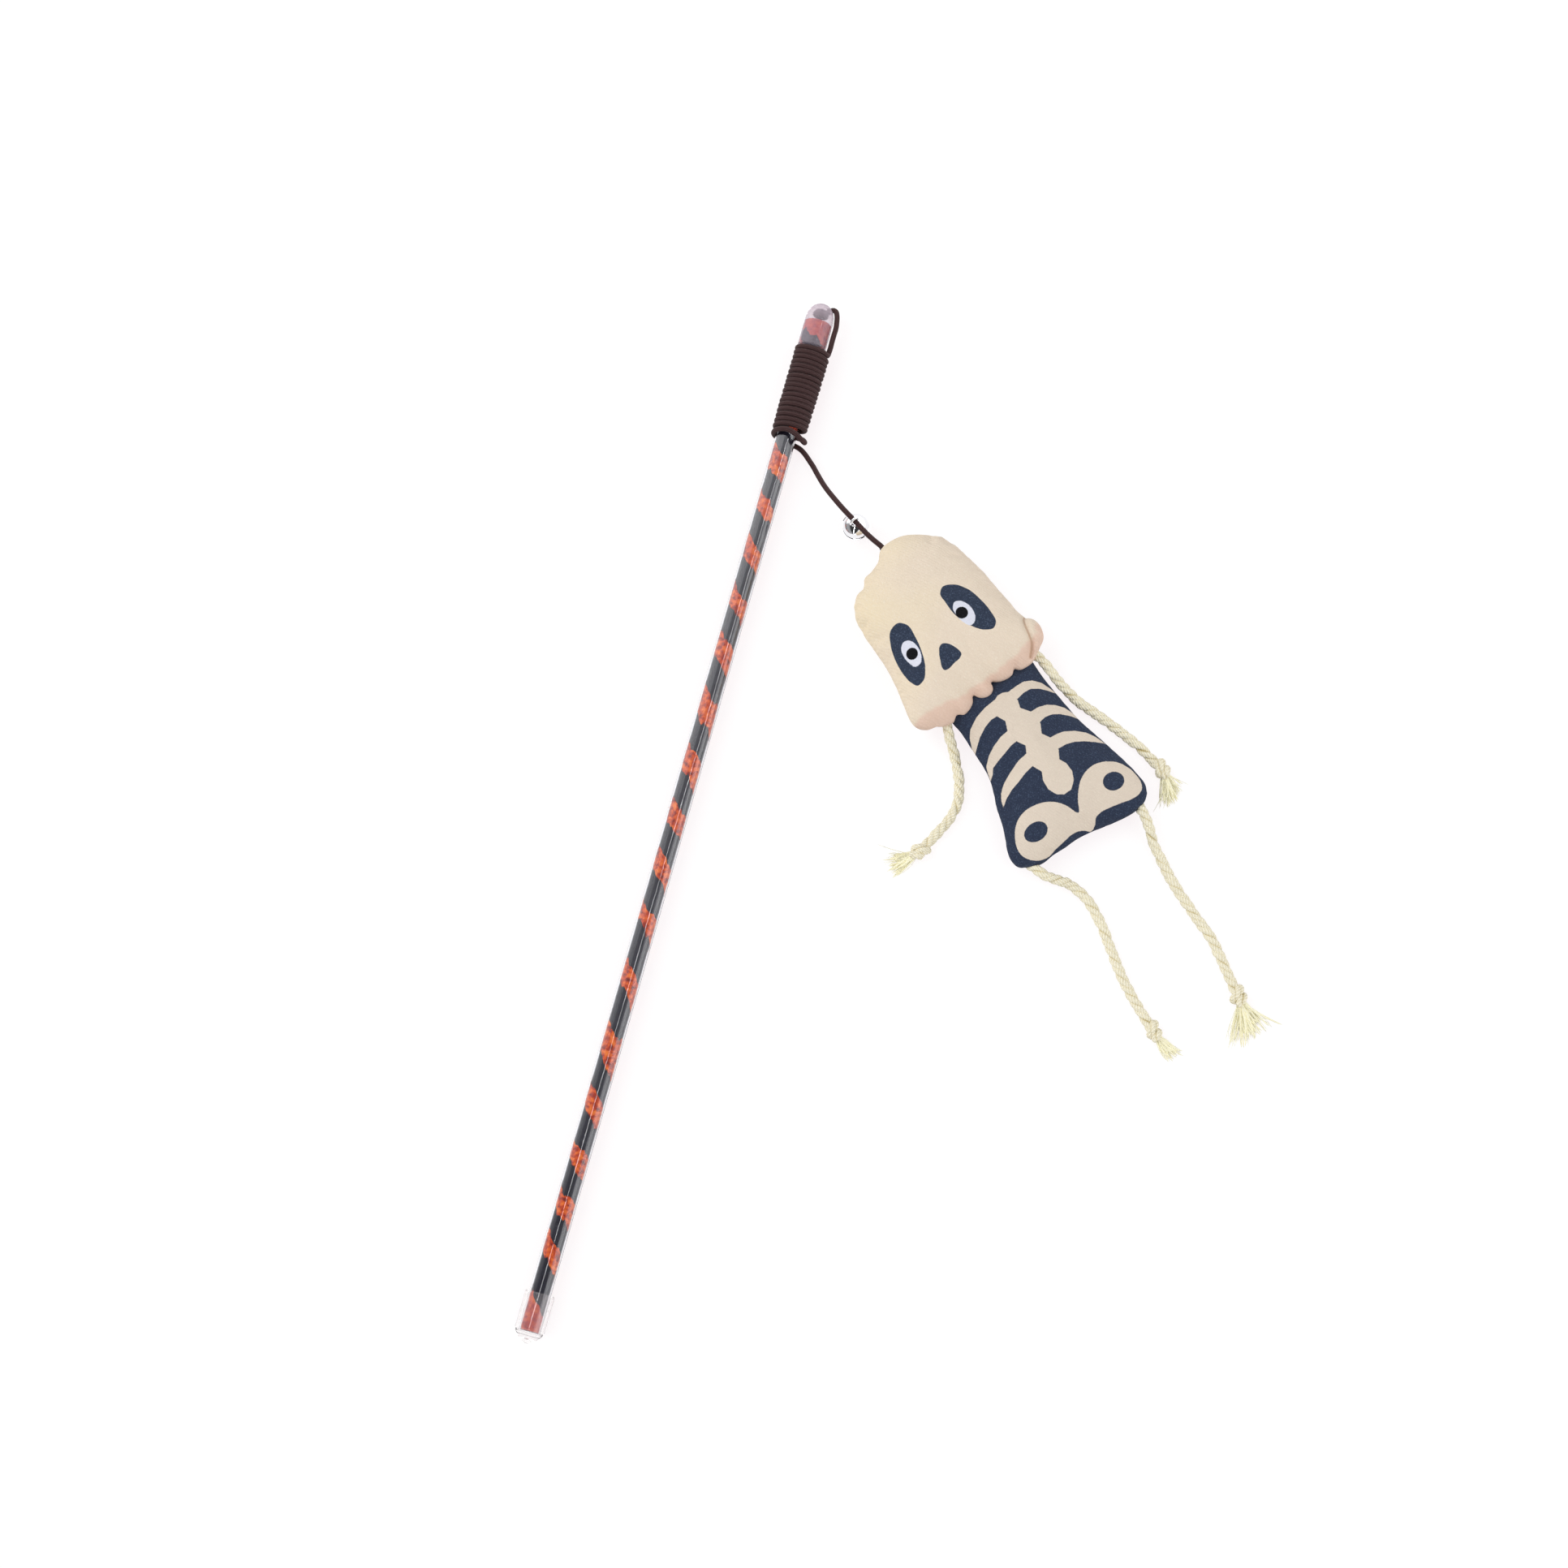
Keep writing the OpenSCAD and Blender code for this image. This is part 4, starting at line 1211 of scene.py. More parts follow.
class Wand:
    """Clear tube with its caps, black film lining and orange strip."""

    def __init__(self, sizes: WandSizes) -> None:
        """Keeps the sizes."""
        self.sizes = sizes

    def film(self) -> Patch:
        """The rolled film, as a closed tube.

        Formula: p(a, y) = (r cos a, y, r sin a) with r = R + e sin(3 a + y / 23), e the waver.

        Returns:
            The film.
        """
        s = self.sizes
        y = np.linspace(s.start, s.end, s.film_rows)
        a = np.linspace(0, 2 * math.pi, s.film_cols, endpoint=False)
        r = s.film_r + s.waver * np.sin(3 * a[None] + y[:, None] / 23)
        grid = np.stack([r * np.cos(a)[None], np.broadcast_to(y[:, None], r.shape),
            AXIS_Z + r * np.sin(a)[None]], -1)
        grid = grid[:, ::-1]
        return grid_patch(WAND_PLACE.lay(grid), True, np.linspace(0, 1, s.film_cols + 1), y, closed=True)

    def strip(self) -> Patch:
        """The orange strip that winds round the film, with ragged edges.

        Formula: p(A, w) = (R cos A, y, R sin A) with y between the strip's two edges, which pass
        through the measured heights on top once a turn, and a random line added to each.

        Returns:
            The strip, with the mark tipward for its redder end.
        """
        s = self.sizes
        upper, lower = np.array(s.edge_tip), np.array(s.edge_butt)
        turns = np.linspace(-0.5, 20, int(s.steps_a_turn * 20.5) + 1)
        a = turns * 2 * math.pi

        def crumbs(seed: int) -> Points:
            """A random line for a ragged edge.

            Args:
                seed: Seed of its first part.

            Returns:
                (n,) heights.
            """
            return s.ragged * sum(
                high * ripple(a, seed + k, size, 60) for k, (high, size) in enumerate(s.crumbs))

        tip = np.interp(turns, upper[:, 0], upper[:, 1]) + crumbs(11)
        butt = np.interp(turns, lower[:, 0], lower[:, 1]) + crumbs(21)
        w = np.linspace(0, 1, s.across)
        y = butt[:, None] + (tip - butt)[:, None] * w[None]
        angle = math.pi / 2 - a[:, None] + 0 * w[None]
        r = s.strip_r + s.waver * ripple(np.stack([angle * s.strip_r, y], -1), 15, 0.8, 40)
        inner = np.clip(y, s.start, s.end)
        grid = np.stack([r * np.cos(angle), inner, AXIS_Z + r * np.sin(angle)], -1)
        patch = grid_patch(WAND_PLACE.lay(grid), False, w * 8, a * s.strip_r)
        flat = np.ptp(inner.reshape(-1)[patch.quads], axis=1) > 1e-6
        patch.quads, patch.uv = patch.quads[flat], patch.uv[flat]
        height = inner.reshape(-1)
        patch.marks["tipward"] = sum(
            np.clip((height - start) / width, 0, 1) * share for start, width, share in s.redder)
        return patch

    def build(self, film: Material, strip: Material) -> None:
        """Builds the lining and the strip.

        Args:
            film: Material of the film.
            strip: Material of the strip.
        """
        lining = make_object("lining_film", self.film(), film)
        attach(lining, Body.WAND.value)
        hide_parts("black_liner")
        fuzz = make_object("fuzzy_strip", self.strip(), strip)
        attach(fuzz, Body.WAND.value)
        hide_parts("orange_strip")

    def dress(self, tube_finish: Material, upper: Material, lower: Material,
              knot: Material) -> None:
        """Gives the carried-over nodes their materials.

        Args:
            tube_finish: Material of the tube.
            upper: Material of the upper cap.
            lower: Material of the lower cap.
            knot: Material of the stop knot.
        """
        dress_node("wand_tube", tube_finish)
        dress_node("upper_cap", upper)
        dress_node("lower_cap", lower)
        dress_node("stop_knot", knot)


# The stuffed head and torso


# Distance between an outline's points in mm, and how many places are measured at once
OUTLINE_STEP = 0.35
CELL = 8192


def edge_distance(places: Points, outline: Points) -> Points:
    """Signed distance to a closed outline, positive inside.

    Formula: the least distance to its segments, with the sign from the number of crossings of a ray.

    Args:
        places: (n, 2) places.
        outline: (m, 2) corners.

    Returns:
        (n,) distances.
    """
    a, b = outline, np.roll(outline, -1, axis=0)
    out = np.empty(len(places))
    for start in range(0, len(places), CELL):
        p = places[start : start + CELL, None]
        d = b - a
        t = np.clip(((p - a) * d).sum(-1) / np.maximum((d * d).sum(-1), 1e-12), 0, 1)
        least = np.sqrt((((p - a) - t[..., None] * d) ** 2).sum(-1)).min(1)
        rises = (a[:, 1] > p[..., 1]) != (b[:, 1] > p[..., 1])
        slope = np.where(d[:, 1] == 0, 1e-12, d[:, 1])
        hit = rises & (p[..., 0] < a[:, 0] + (p[..., 1] - a[:, 1]) / slope * d[:, 0])
        out[start : start + CELL] = np.where(hit.sum(1) % 2 == 1, least, -least)
    return out


def rounded_outline(corners: tuple) -> Points:
    """Closes a smooth line through the corners, with points about OUTLINE_STEP apart.

    Args:
        corners: (x, y) pairs.

    Returns:
        (n, 2) points.
    """
    p = np.array(corners, float)
    wide = np.vstack([p[-3:], p, p[:4]])
    fine = smooth_path(wide, OUTLINE_STEP / 3)
    first = np.argmin(np.linalg.norm(fine - p[0], axis=1)[: len(fine) // 2])
    last = len(fine) // 2 + np.argmin(np.linalg.norm(fine[len(fine) // 2 :] - p[0], axis=1))
    return fine[first:last:3]


def even_side(points: Points, count: int) -> Points:
    """Spaces points evenly along one side of an outline.

    Args:
        points: (n, 2) points of the side.
        count: Points wanted.

    Returns:
        (count, 2) points.
    """
    run = run_along(points)
    return at_lengths(points, run, np.linspace(0, run[-1], count))


def grid_quads(index: Points) -> Points:
    """Lists the faces of a grid.

    Args:
        index: (rows, cols) numbers of its points.

    Returns:
        (n, 4) corners of the faces.
    """
    return np.stack([index[:-1, :-1], index[1:, :-1], index[1:, 1:], index[:-1, 1:]], -1).reshape(-1, 4)


def filled_outline(top: Points, bottom: Points, left: Points, right: Points) -> Points:
    """Fills a four-sided outline with a grid.

    Formula (Coons): (1-t) top + t bottom + (1-s) left + s right, less the surface through the four corners.

    Args:
        top: (m, 2) first row, left to right.
        bottom: (m, 2) last row, left to right.
        left: (n, 2) first column, top to bottom.
        right: (n, 2) last column, top to bottom.

    Returns:
        (n, m, 2) grid.
    """
    s = np.linspace(0, 1, len(top))[None, :, None]
    t = np.linspace(0, 1, len(left))[:, None, None]
    across = (1 - t) * top[None] + t * bottom[None]
    down = (1 - s) * left[:, None] + s * right[:, None]
    corners = ((1 - s) * (1 - t) * top[0] + s * (1 - t) * top[-1]
               + (1 - s) * t * bottom[0] + s * t * bottom[-1])
    return across + down - corners


def print_distance(places: Points, shapes: tuple, smooth: bool = True) -> Points:
    """Signed distance to the nearest of some printed shapes, positive inside.

    Args:
        places: (n, 2) places.
        shapes: The shapes' corners.
        smooth: Whether the shapes are curved.

    Returns:
        (n,) distances.
    """
    outlines = [rounded_outline(shape) if smooth else np.array(shape, float) for shape in shapes]
    return np.maximum.reduce([edge_distance(places, outline) for outline in outlines])


@dataclass(frozen=True)
class PadSizes:
    """A stuffed pillow of two panels: its four sides and heights in mm, in its own frame.

    Attributes:
        top: Corners of its first side, and right, bottom and left those of the others.
        seam_z: Height of the seam.
        rise: Height of the crest above it.
        rows: Points along a side, and cols across.
        crown: Share of the way to the middle after which the pad is flat on top.
        fill: How full it is stuffed; not used.
    """

    top: tuple
    right: tuple
    bottom: tuple
    left: tuple
    seam_z: float
    rise: float
    rows: int
    cols: int
    crown: float
    fill: float


class StuffedPad:
    """Two panels sewn round their edge, blown up by cloth simulation and settled on the table.

    Attributes:
        swell_scale: How much larger the cloth is while it is simulated.
        frames: Steps of the simulation.
        most_swell: The most that it may move a point, in mm.
        table_soft: How gently the pad meets the table, in mm.
        behind: What a printed shape's distance is on the back.
        cloth: The simulation's settings.
    """

    swell_scale: float = 10.0
    frames: int = 20
    most_swell: float = 6.0
    table_soft: float = 0.45
    behind: float = -9.0
    cloth: dict[str, float | bool | str] = {
        "quality": 7, "mass": 0.25, "tension_stiffness": 12, "compression_stiffness": 12,
        "shear_stiffness": 6, "bending_stiffness": 0.6, "use_pressure": True,
        "uniform_pressure_force": 3.0, "vertex_group_mass": "seam", "shrink_min": -0.035}

    def __init__(self, name: str, sizes: PadSizes, place: Place) -> None:
        """Keeps what the pad is."""
        self.name, self.sizes, self.place = name, sizes, place

    def flat_grid(self) -> Points:
        """The panel's grid before it is filled.

        Returns:
            (rows, cols, 2) places.
        """
        s = self.sizes
        sides = ((s.top, s.cols), (s.bottom, s.cols), (s.left, s.rows), (s.right, s.rows))
        return filled_outline(*(
            even_side(smooth_path(np.array(corners), 0.4), count) for corners, count in sides))

    def seam_height(self, edge: Points) -> Points:
        """Height of the seam at places on the outline."""
        return np.full(len(edge), self.sizes.seam_z)

    def pillow(self) -> tuple[Points, Points, Points, Points]:
        """Both panels as one mesh that shares its seam.

        Formula: height above the seam = rise (1 - (1 - d/w)^2.4)^0.5, with d the distance from the
        outline and w the crown's share of the widest such distance.

        Returns:
            Points, quads, face-corner places, and which points are on the seam.
        """
        s = self.sizes
        grid = self.flat_grid()
        rows, cols = grid.shape[:2]
        flat = grid.reshape(-1, 2)
        outline = np.vstack([grid[0, :-1], grid[:-1, -1], grid[-1, :0:-1], grid[:0:-1, 0]])
        depth = np.clip(edge_distance(flat, outline), 0, None)
        share = np.clip(depth / (depth.max() * s.crown), 0, 1)
        bulge = np.sqrt(np.clip(1 - (1 - share) ** 2.4, 0, 1))
        seam = self.seam_height(flat)
        index = np.arange(rows * cols).reshape(rows, cols)
        inside = np.zeros((rows, cols), bool)
        inside[1:-1, 1:-1] = True
        back = index.copy()
        back[inside] = rows * cols + np.arange(inside.sum())
        front_pts = np.column_stack([flat, seam + s.rise * bulge])
        back_pts = np.column_stack([flat, seam - seam * bulge])[inside.reshape(-1)]
        points = np.vstack([front_pts, back_pts])
        quads = np.vstack([grid_quads(index), grid_quads(back)[:, ::-1]])
        uv = flat[grid_quads(index)]
        uv = np.vstack([uv, uv[:, ::-1]])
        on_seam = np.zeros(len(points), bool)
        on_seam[: rows * cols] = ~inside.reshape(-1)
        return points, quads, uv, on_seam

    def blown_up(self, points: Points, quads: Points, on_seam: Points) -> Points:
        """Fills the pad by cloth simulation, with its seam held.

        Args:
            points: (n, 3) points before.
            quads: (m, 4) faces.
            on_seam: (n,) whether a point is held.

        Returns:
            (n, 3) points after.
        """
        scale = self.swell_scale * MM
        mesh = bpy.data.meshes.new(self.name + "_trial")
        mesh.from_pydata(points * scale, [], quads.tolist())
        trial = bpy.data.objects.new(self.name + "_trial", mesh)
        bpy.context.scene.collection.objects.link(trial)
        group = trial.vertex_groups.new(name="seam")
        group.add(np.flatnonzero(on_seam).tolist(), 1.0, "REPLACE")
        cloth = trial.modifiers.new("cloth", "CLOTH")
        for setting, value in self.cloth.items():
            setattr(cloth.settings, setting, value)
        cloth.settings.effector_weights.gravity = 0.0
        cloth.collision_settings.use_collision = False
        cloth.point_cache.frame_start, cloth.point_cache.frame_end = 1, self.frames
        scene = bpy.context.scene
        for step in range(1, self.frames + 1):
            scene.frame_set(step)
        swollen = trial.evaluated_get(bpy.context.evaluated_depsgraph_get())
        after = np.empty(len(points) * 3, np.float32)
        swollen.data.vertices.foreach_get("co", after)
        scene.frame_set(1)
        bpy.data.objects.remove(trial)
        after = after.reshape(-1, 3).astype(float) / scale
        moved = after - points
        size = np.linalg.norm(moved, axis=1)[:, None]
        LOG.info("%s: cloth moved %.1f mm at most", self.name, size.max())
        return points + moved * np.minimum(1, self.most_swell / np.maximum(size, 1e-9))

    def settled(self, points: Points) -> Points:
        """Brings the pad to its height and presses it onto the table.

        Formula: z = e log(1 + exp(z / e)) near the table, e its softness, and above the seam z
        scales to the crest.

        Args:
            points: (n, 3) points.

        Returns:
            (n, 3) points.
        """
        s = self.sizes
        out = points.copy()
        above = out[:, 2] - s.seam_z
        crest = above.max()
        out[:, 2] = np.where(above > 0, s.seam_z + above * min(1.0, s.rise / crest), out[:, 2])
        out[:, 2] = self.table_soft * np.logaddexp(0, out[:, 2] / self.table_soft)
        return out

    def shape(self, points: Points) -> Points:
        """Last moves of the surface, such as folds."""
        return points

    def marks(self, points: Points, front: Points) -> dict[str, Points]:
        """Values for the print."""
        return {}

    def divided(self, points: Points, quads: Points, uv: Points) -> tuple[Points, Points, Points]:
        """Applies one subdivision.

        Args:
            points: (n, 3) points.
            quads: (m, 4) faces.
            uv: (m, 4, 2) face-corner places.

        Returns:
            The finer points, faces and places.
        """
        mesh = bpy.data.meshes.new(self.name + "_rough")
        mesh.from_pydata(points * MM, [], quads.tolist())
        mesh.uv_layers.new(name="surface").data.foreach_set("uv", uv.reshape(-1).astype(np.float32))
        rough = bpy.data.objects.new(self.name + "_rough", mesh)
        bpy.context.scene.collection.objects.link(rough)
        finer = rough.modifiers.new("finer", "SUBSURF")
        finer.levels = finer.render_levels = 1
        fine = rough.evaluated_get(bpy.context.evaluated_depsgraph_get()).data
        co = np.empty(len(fine.vertices) * 3, np.float32)
        fine.vertices.foreach_get("co", co)
        corner = np.empty(len(fine.loops), np.int32)
        fine.loops.foreach_get("vertex_index", corner)
        place = np.empty(len(fine.loops) * 2, np.float32)
        fine.uv_layers[0].data.foreach_get("uv", place)
        bpy.data.objects.remove(rough)
        return co.reshape(-1, 3).astype(float) / MM, corner.reshape(-1, 4), place.reshape(-1, 4, 2)

    def build(self, material: Material, replaces: tuple[str, ...], slot: str) -> Object:
        """Builds the pad.

        Args:
            material: Its cloth.
            replaces: CAD nodes that it stands for.
            slot: Not used.

        Returns:
            The pad.
        """
        points, quads, uv, on_seam = self.pillow()
        points = self.settled(self.blown_up(points, quads, on_seam))
        points, quads, uv = self.divided(self.shape(points), quads, uv)
        front = np.zeros(len(points), bool)
        front[quads[: len(quads) // 2].reshape(-1)] = True
        patch = Patch(self.place.lay(points), quads, uv, [], self.marks(points, front))
        piece = make_object(self.name, patch, material)
        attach(piece, Body.DOLL.value)
        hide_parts(*replaces)
        return piece


HEAD_SIZES = PadSizes(
    top=((12.2, -21.5), (9.5, -18.4), (8.1, -14.1), (5.8, -12.1), (5.1, -9.2), (3.3, -4.3), (0.3, -0.6),
        (0.2, 1.4), (1.4, 8.7), (4.1, 13.1), (7.5, 17.2), (10.0, 20.1)),
    right=((10.0, 20.1), (15.7, 22.3), (22.7, 23.6), (29.8, 24.7), (36.0, 25.0), (43.9, 25.5), (50.2, 25.8),
        (53.2, 26.6), (55.9, 28.4), (59.1, 28.7), (63.4, 27.0), (65.5, 23.9), (67.3, 20.4)),
    bottom=((67.2, -23.6), (68.7, -19.9), (69.3, -17.6), (67.9, -15.1), (69.4, -13.2), (69.2, -10.6),
        (68.0, -8.2), (65.7, -6.2), (67.6, -5.2), (69.3, -3.0), (69.3, -0.8), (67.8, 1.0), (65.6, 1.6),
        (67.2, 4.2), (68.1, 7.4), (67.7, 9.9), (66.5, 11.2), (67.9, 12.6), (68.4, 15.0), (68.2, 17.8),
        (67.3, 20.4)),
    left=((12.2, -21.5), (17.0, -24.1), (22.9, -25.2), (30.1, -25.6), (37.3, -26.0), (44.0, -26.9),
        (50.4, -28.4), (55.5, -29.6), (58.6, -30.3), (61.9, -30.2), (65.1, -27.9), (67.2, -23.6)),
    seam_z=11.5, rise=11.8, rows=84, cols=84, crown=0.92, fill=0.7)

TORSO_SIZES = PadSizes(
    top=((-5.0, -18.6), (-5.3, -9.0), (-5.4, 0.0), (-5.3, 9.0), (-5.0, 18.6)),
    right=((-5.0, 18.6), (0.0, 18.8), (5.7, 19.2), (10.8, 19.8), (17.6, 20.7), (24.5, 21.7), (31.1, 23.5),
        (38.5, 25.5), (45.4, 27.2), (52.7, 28.5), (57.0, 28.7), (60.6, 27.4)),
    bottom=((60.0, -25.0), (61.8, -21.1), (62.5, -17.9), (62.2, -13.0), (62.2, -8.1), (61.9, -3.3),
        (62.3, 2.3), (63.4, 9.0), (64.1, 15.2), (63.9, 20.6), (62.8, 24.6), (60.6, 27.4)),
    left=((-5.0, -18.6), (0.0, -18.5), (5.8, -17.8), (11.1, -17.8), (15.8, -17.8), (21.7, -17.8),
        (26.4, -18.3), (30.9, -19.7), (36.6, -21.8), (42.5, -23.2), (47.6, -24.9), (51.9, -26.5),
        (56.1, -27.2), (58.6, -26.6), (60.0, -25.0)),
    seam_z=7.0, rise=8.3, rows=92, cols=72, crown=0.92, fill=0.65)

SOCKET_RIGHT = ((28.2, 7.4), (29.8, 11.6), (33.5, 14.5), (39.9, 16.1), (45.9, 16.4), (50.2, 15.4),
    (51.4, 13.6), (50.0, 10.3), (45.7, 7.1), (39.9, 5.1), (33.6, 5.0), (29.8, 5.4))
SOCKET_LEFT = ((29.3, -13.2), (31.8, -11.1), (37.5, -11.3), (43.1, -12.6), (48.7, -15.1), (52.0, -18.3),
    (52.2, -21.1), (49.9, -22.2), (44.8, -22.5), (38.8, -21.7), (33.5, -19.8), (29.8, -17.1))
WHITE_RIGHT = ((35.4, 7.8), (36.0, 9.5), (37.9, 10.8), (40.0, 11.4), (42.6, 11.2), (44.5, 10.4), (45.9, 8.6),
    (45.9, 7.3), (43.6, 5.9), (40.2, 5.4), (36.9, 5.9))
WHITE_LEFT = ((36.2, -16.0), (36.6, -14.3), (37.8, -13.3), (39.9, -12.8), (42.2, -12.9), (44.9, -14.0),
    (46.4, -15.6), (46.2, -17.5), (43.4, -18.6), (40.3, -18.7), (37.8, -18.0))
NOSE = ((45.3, -5.1), (46.2, -3.6), (48.2, -2.3), (50.6, -1.5), (52.2, -1.5), (53.0, -2.6), (53.4, -5.6),
    (53.9, -9.0), (53.5, -10.1), (52.4, -10.2), (50.1, -9.3), (47.4, -7.9), (45.7, -6.5))
PUPILS = ((40.2, 7.5, 2.25), (41.5, -15.8, 2.15))

SPINE = ((3.6, -1.8), (2.4, 0.4), (2.5, 2.6), (3.6, 4.9), (7.9, 5.6), (10.9, 4.8), (14.4, 7.6), (19.5, 8.0),
    (23.0, 6.3), (26.1, 8.4), (31.2, 8.3), (34.7, 6.5), (37.1, 7.8), (40.7, 8.1), (44.0, 6.7), (46.3, 4.2),
    (46.5, 1.1), (45.0, -1.2), (41.9, -2.7), (38.2, -2.6), (35.2, -1.2), (31.7, -2.8), (26.8, -2.5),
    (23.8, -1.0), (21.0, -2.7), (16.0, -3.7), (12.2, -2.3), (9.4, -3.7))
RIBS = (
    ((3.4, 4.0), (2.9, 8.3), (2.8, 11.3), (3.9, 14.4), (5.9, 16.9), (9.0, 18.4), (12.0, 19.6), (9.8, 17.4),
        (7.7, 15.0), (6.4, 12.0), (6.5, 9.0), (7.5, 5.5)),
    ((14.1, 7.0), (13.7, 10.5), (14.2, 13.9), (15.7, 16.7), (18.1, 19.0), (21.2, 20.6), (24.5, 21.6),
        (21.7, 18.9), (19.7, 16.4), (18.4, 13.5), (18.2, 10.7), (19.2, 7.4)),
    ((25.8, 7.6), (25.7, 11.2), (26.1, 13.9), (27.7, 17.4), (30.2, 20.6), (33.3, 22.8), (37.3, 24.5),
        (34.7, 21.2), (32.8, 17.9), (31.4, 15.1), (30.7, 11.8), (30.9, 7.8)),
    ((3.2, -1.0), (3.8, -5.7), (5.1, -10.3), (7.3, -14.3), (9.4, -15.9), (13.1, -17.3), (16.1, -18.0),
        (14.1, -15.8), (11.7, -12.9), (9.9, -9.5), (8.9, -6.3), (9.0, -3.0)),
    ((15.6, -3.0), (16.0, -6.6), (17.4, -10.5), (19.2, -13.8), (21.7, -16.5), (24.3, -17.3), (27.0, -17.9),
        (25.5, -16.1), (23.6, -14.7), (22.8, -12.3), (21.9, -8.8), (20.8, -5.1), (20.6, -2.0)),
    ((26.4, -2.0), (26.9, -5.9), (28.8, -10.8), (30.9, -14.7), (33.2, -17.3), (35.7, -18.7), (38.0, -19.3),
        (36.1, -16.8), (34.6, -13.7), (33.5, -10.0), (32.1, -6.2), (31.4, -2.0)))
PELVIS = ((54.5, 2.2), (51.0, 4.1), (47.8, 6.3), (45.0, 9.1), (43.1, 12.9), (42.6, 16.9), (43.6, 20.7),
    (45.6, 23.9), (48.9, 26.3), (53.0, 27.4), (56.4, 27.3), (58.7, 26.2), (59.8, 24.2), (60.0, 20.8),
    (59.3, 16.8), (58.7, 12.7), (58.4, 9.2), (59.0, 6.6), (60.8, 5.1), (61.8, 2.6), (60.7, 1.1), (59.7, -1.2),
    (59.5, -4.1), (60.3, -8.3), (60.9, -11.6), (61.8, -15.1), (61.4, -18.5), (59.7, -21.2), (56.8, -23.1),
    (53.3, -23.1), (50.0, -21.8), (47.3, -20.0), (45.3, -17.8), (44.0, -14.4), (44.1, -10.0), (45.2, -6.2),
    (47.2, -3.0), (50.1, -0.4))
HOLES = ((51.3, 18.9, 3.7, 3.2), (52.4, -14.5, 4.2, 3.1))


class Head(StuffedPad):
    """The doll's head, with sockets, eyes, nose and a scalloped jaw printed on it, painted shade along the
    crease at its right cheek and a painted warm light towards its top-left.
    """

    jaw_most: float = 14
    jaw_reach: float = 9
    # Width of the painted shade along the cheek's crease, in mm
    crease_shade_width: float = 0.3
    crease_low: float = 1.5
    crease_depth: float = 2.2
    crease_width: float = 0.8
    crease: tuple = ((52.6, 26.6), (54.2, 24.8), (56.4, 23.8), (60.4, 22.7), (63.1, 21.8), (64.9, 20.2),
        (66.4, 18.6))

    def seam_height(self, edge: Points) -> Points:
        """Lifts the seam at the jaw, where the head lies over the torso."""
        lift = np.exp(-((edge[:, 0] - 68.5) / 9.0) ** 2) * np.exp(-((edge[:, 1] - 0.5) / 17.0) ** 6)
        return self.sizes.seam_z + 1.2 * lift

    def from_jaw(self, flat: Points) -> Points:
        """Distance from the scalloped lower edge.

        Args:
            flat: (n, 2) places.

        Returns:
            (n,) distances.
        """
        edge = smooth_path(np.array(self.sizes.bottom), 0.5)
        parts = np.array_split(flat, 1 + len(flat) // (CELL // 2))
        return np.concatenate([np.linalg.norm(part[:, None] - edge[None], axis=-1).min(1) for part in parts])

    def from_crease(self, flat: Points) -> Points:
        """Distance from the crease where the cloth folds at the right cheek."""
        line = smooth_path(np.array(self.crease), 0.3)
        return np.linalg.norm(flat[:, None] - line[None], axis=-1).min(1)

    def shape(self, points: Points) -> Points:
        """Flattens the jaw and presses the crease in where the cloth folds at the right cheek.

        Formula: the height h above the seam becomes h c / (h^3 + c^3)^(1/3) with
        c = most (1 - exp(-d / reach)), d the distance from the jaw's edge, and falls by
        depth x exp(-(e / width)^2), e from the crease.

        Args:
            points: (n, 3) points after the pad has settled.

        Returns:
            (n, 3) points.
        """
        out = points.copy()
        seam = self.seam_height(points[:, :2])
        height = np.maximum(out[:, 2] - seam, 0)
        most = self.jaw_most * (1 - np.exp(-self.from_jaw(points[:, :2]) / self.jaw_reach)) + 1e-6
        lower = height * most / (height**3 + most**3) ** (1 / 3)
        out[:, 2] = np.where(height > 0, seam + lower, out[:, 2])
        d = self.from_crease(points[:, :2])
        out[:, 2] -= np.where(height > 0, self.crease_depth * np.exp(-((d / self.crease_width) ** 2)), 0)
        out[:, 2] = np.where(height > 0, np.maximum(out[:, 2], seam - self.crease_low), out[:, 2])
        return out

    def marks(self, points: Points, front: Points) -> dict[str, Points]:
        """Values for the face's print, for the painted shade along the cheek's crease and for the painted
        warm light.

        Args:
            points: (n, 3) finished points.
            front: (n,) whether a point faces up.

        Returns:
            Distances inside each printed shape and inside the painted shade along the crease, and the share
            of painted warm light.
        """
        flat = points[:, :2]
        navy = print_distance(flat, (SOCKET_RIGHT, SOCKET_LEFT, NOSE))
        white = print_distance(flat, (WHITE_RIGHT, WHITE_LEFT))
        pupil = np.maximum.reduce([r - np.hypot(flat[:, 0] - x, flat[:, 1] - y) for x, y, r in PUPILS])
        jaw = flat[:, 0] - 64.2 + 0.0042 * (flat[:, 1] + 2) ** 2
        jaw = jaw + 0.3 * np.sin(flat[:, 1] * 0.7) + 0.35 * ripple(flat[:, 1], 3, 4.0)
        cheek = 2.4 - np.hypot(flat[:, 0] - 60.5, (flat[:, 1] - 28.6) * 0.8)
        # Painted shade: a brownish band within a fraction of a millimetre of the cheek's crease
        fold = self.crease_shade_width - self.from_crease(flat)
        # Painted light: yellower towards the top-left of the head, where the light falls
        warm = np.clip(0.42 - flat[:, 0] / 110 - flat[:, 1] / 80 + 0.12 * ripple(flat, 4, 18.0), 0, 1)
        shapes = {"navy": navy, "white": white, "pupil": pupil, "fold": fold}
        printed = {name: np.where(front, inside, self.behind) for name, inside in shapes.items()}
        return {**printed, "jaw": np.maximum(jaw, cheek), "warm": warm}


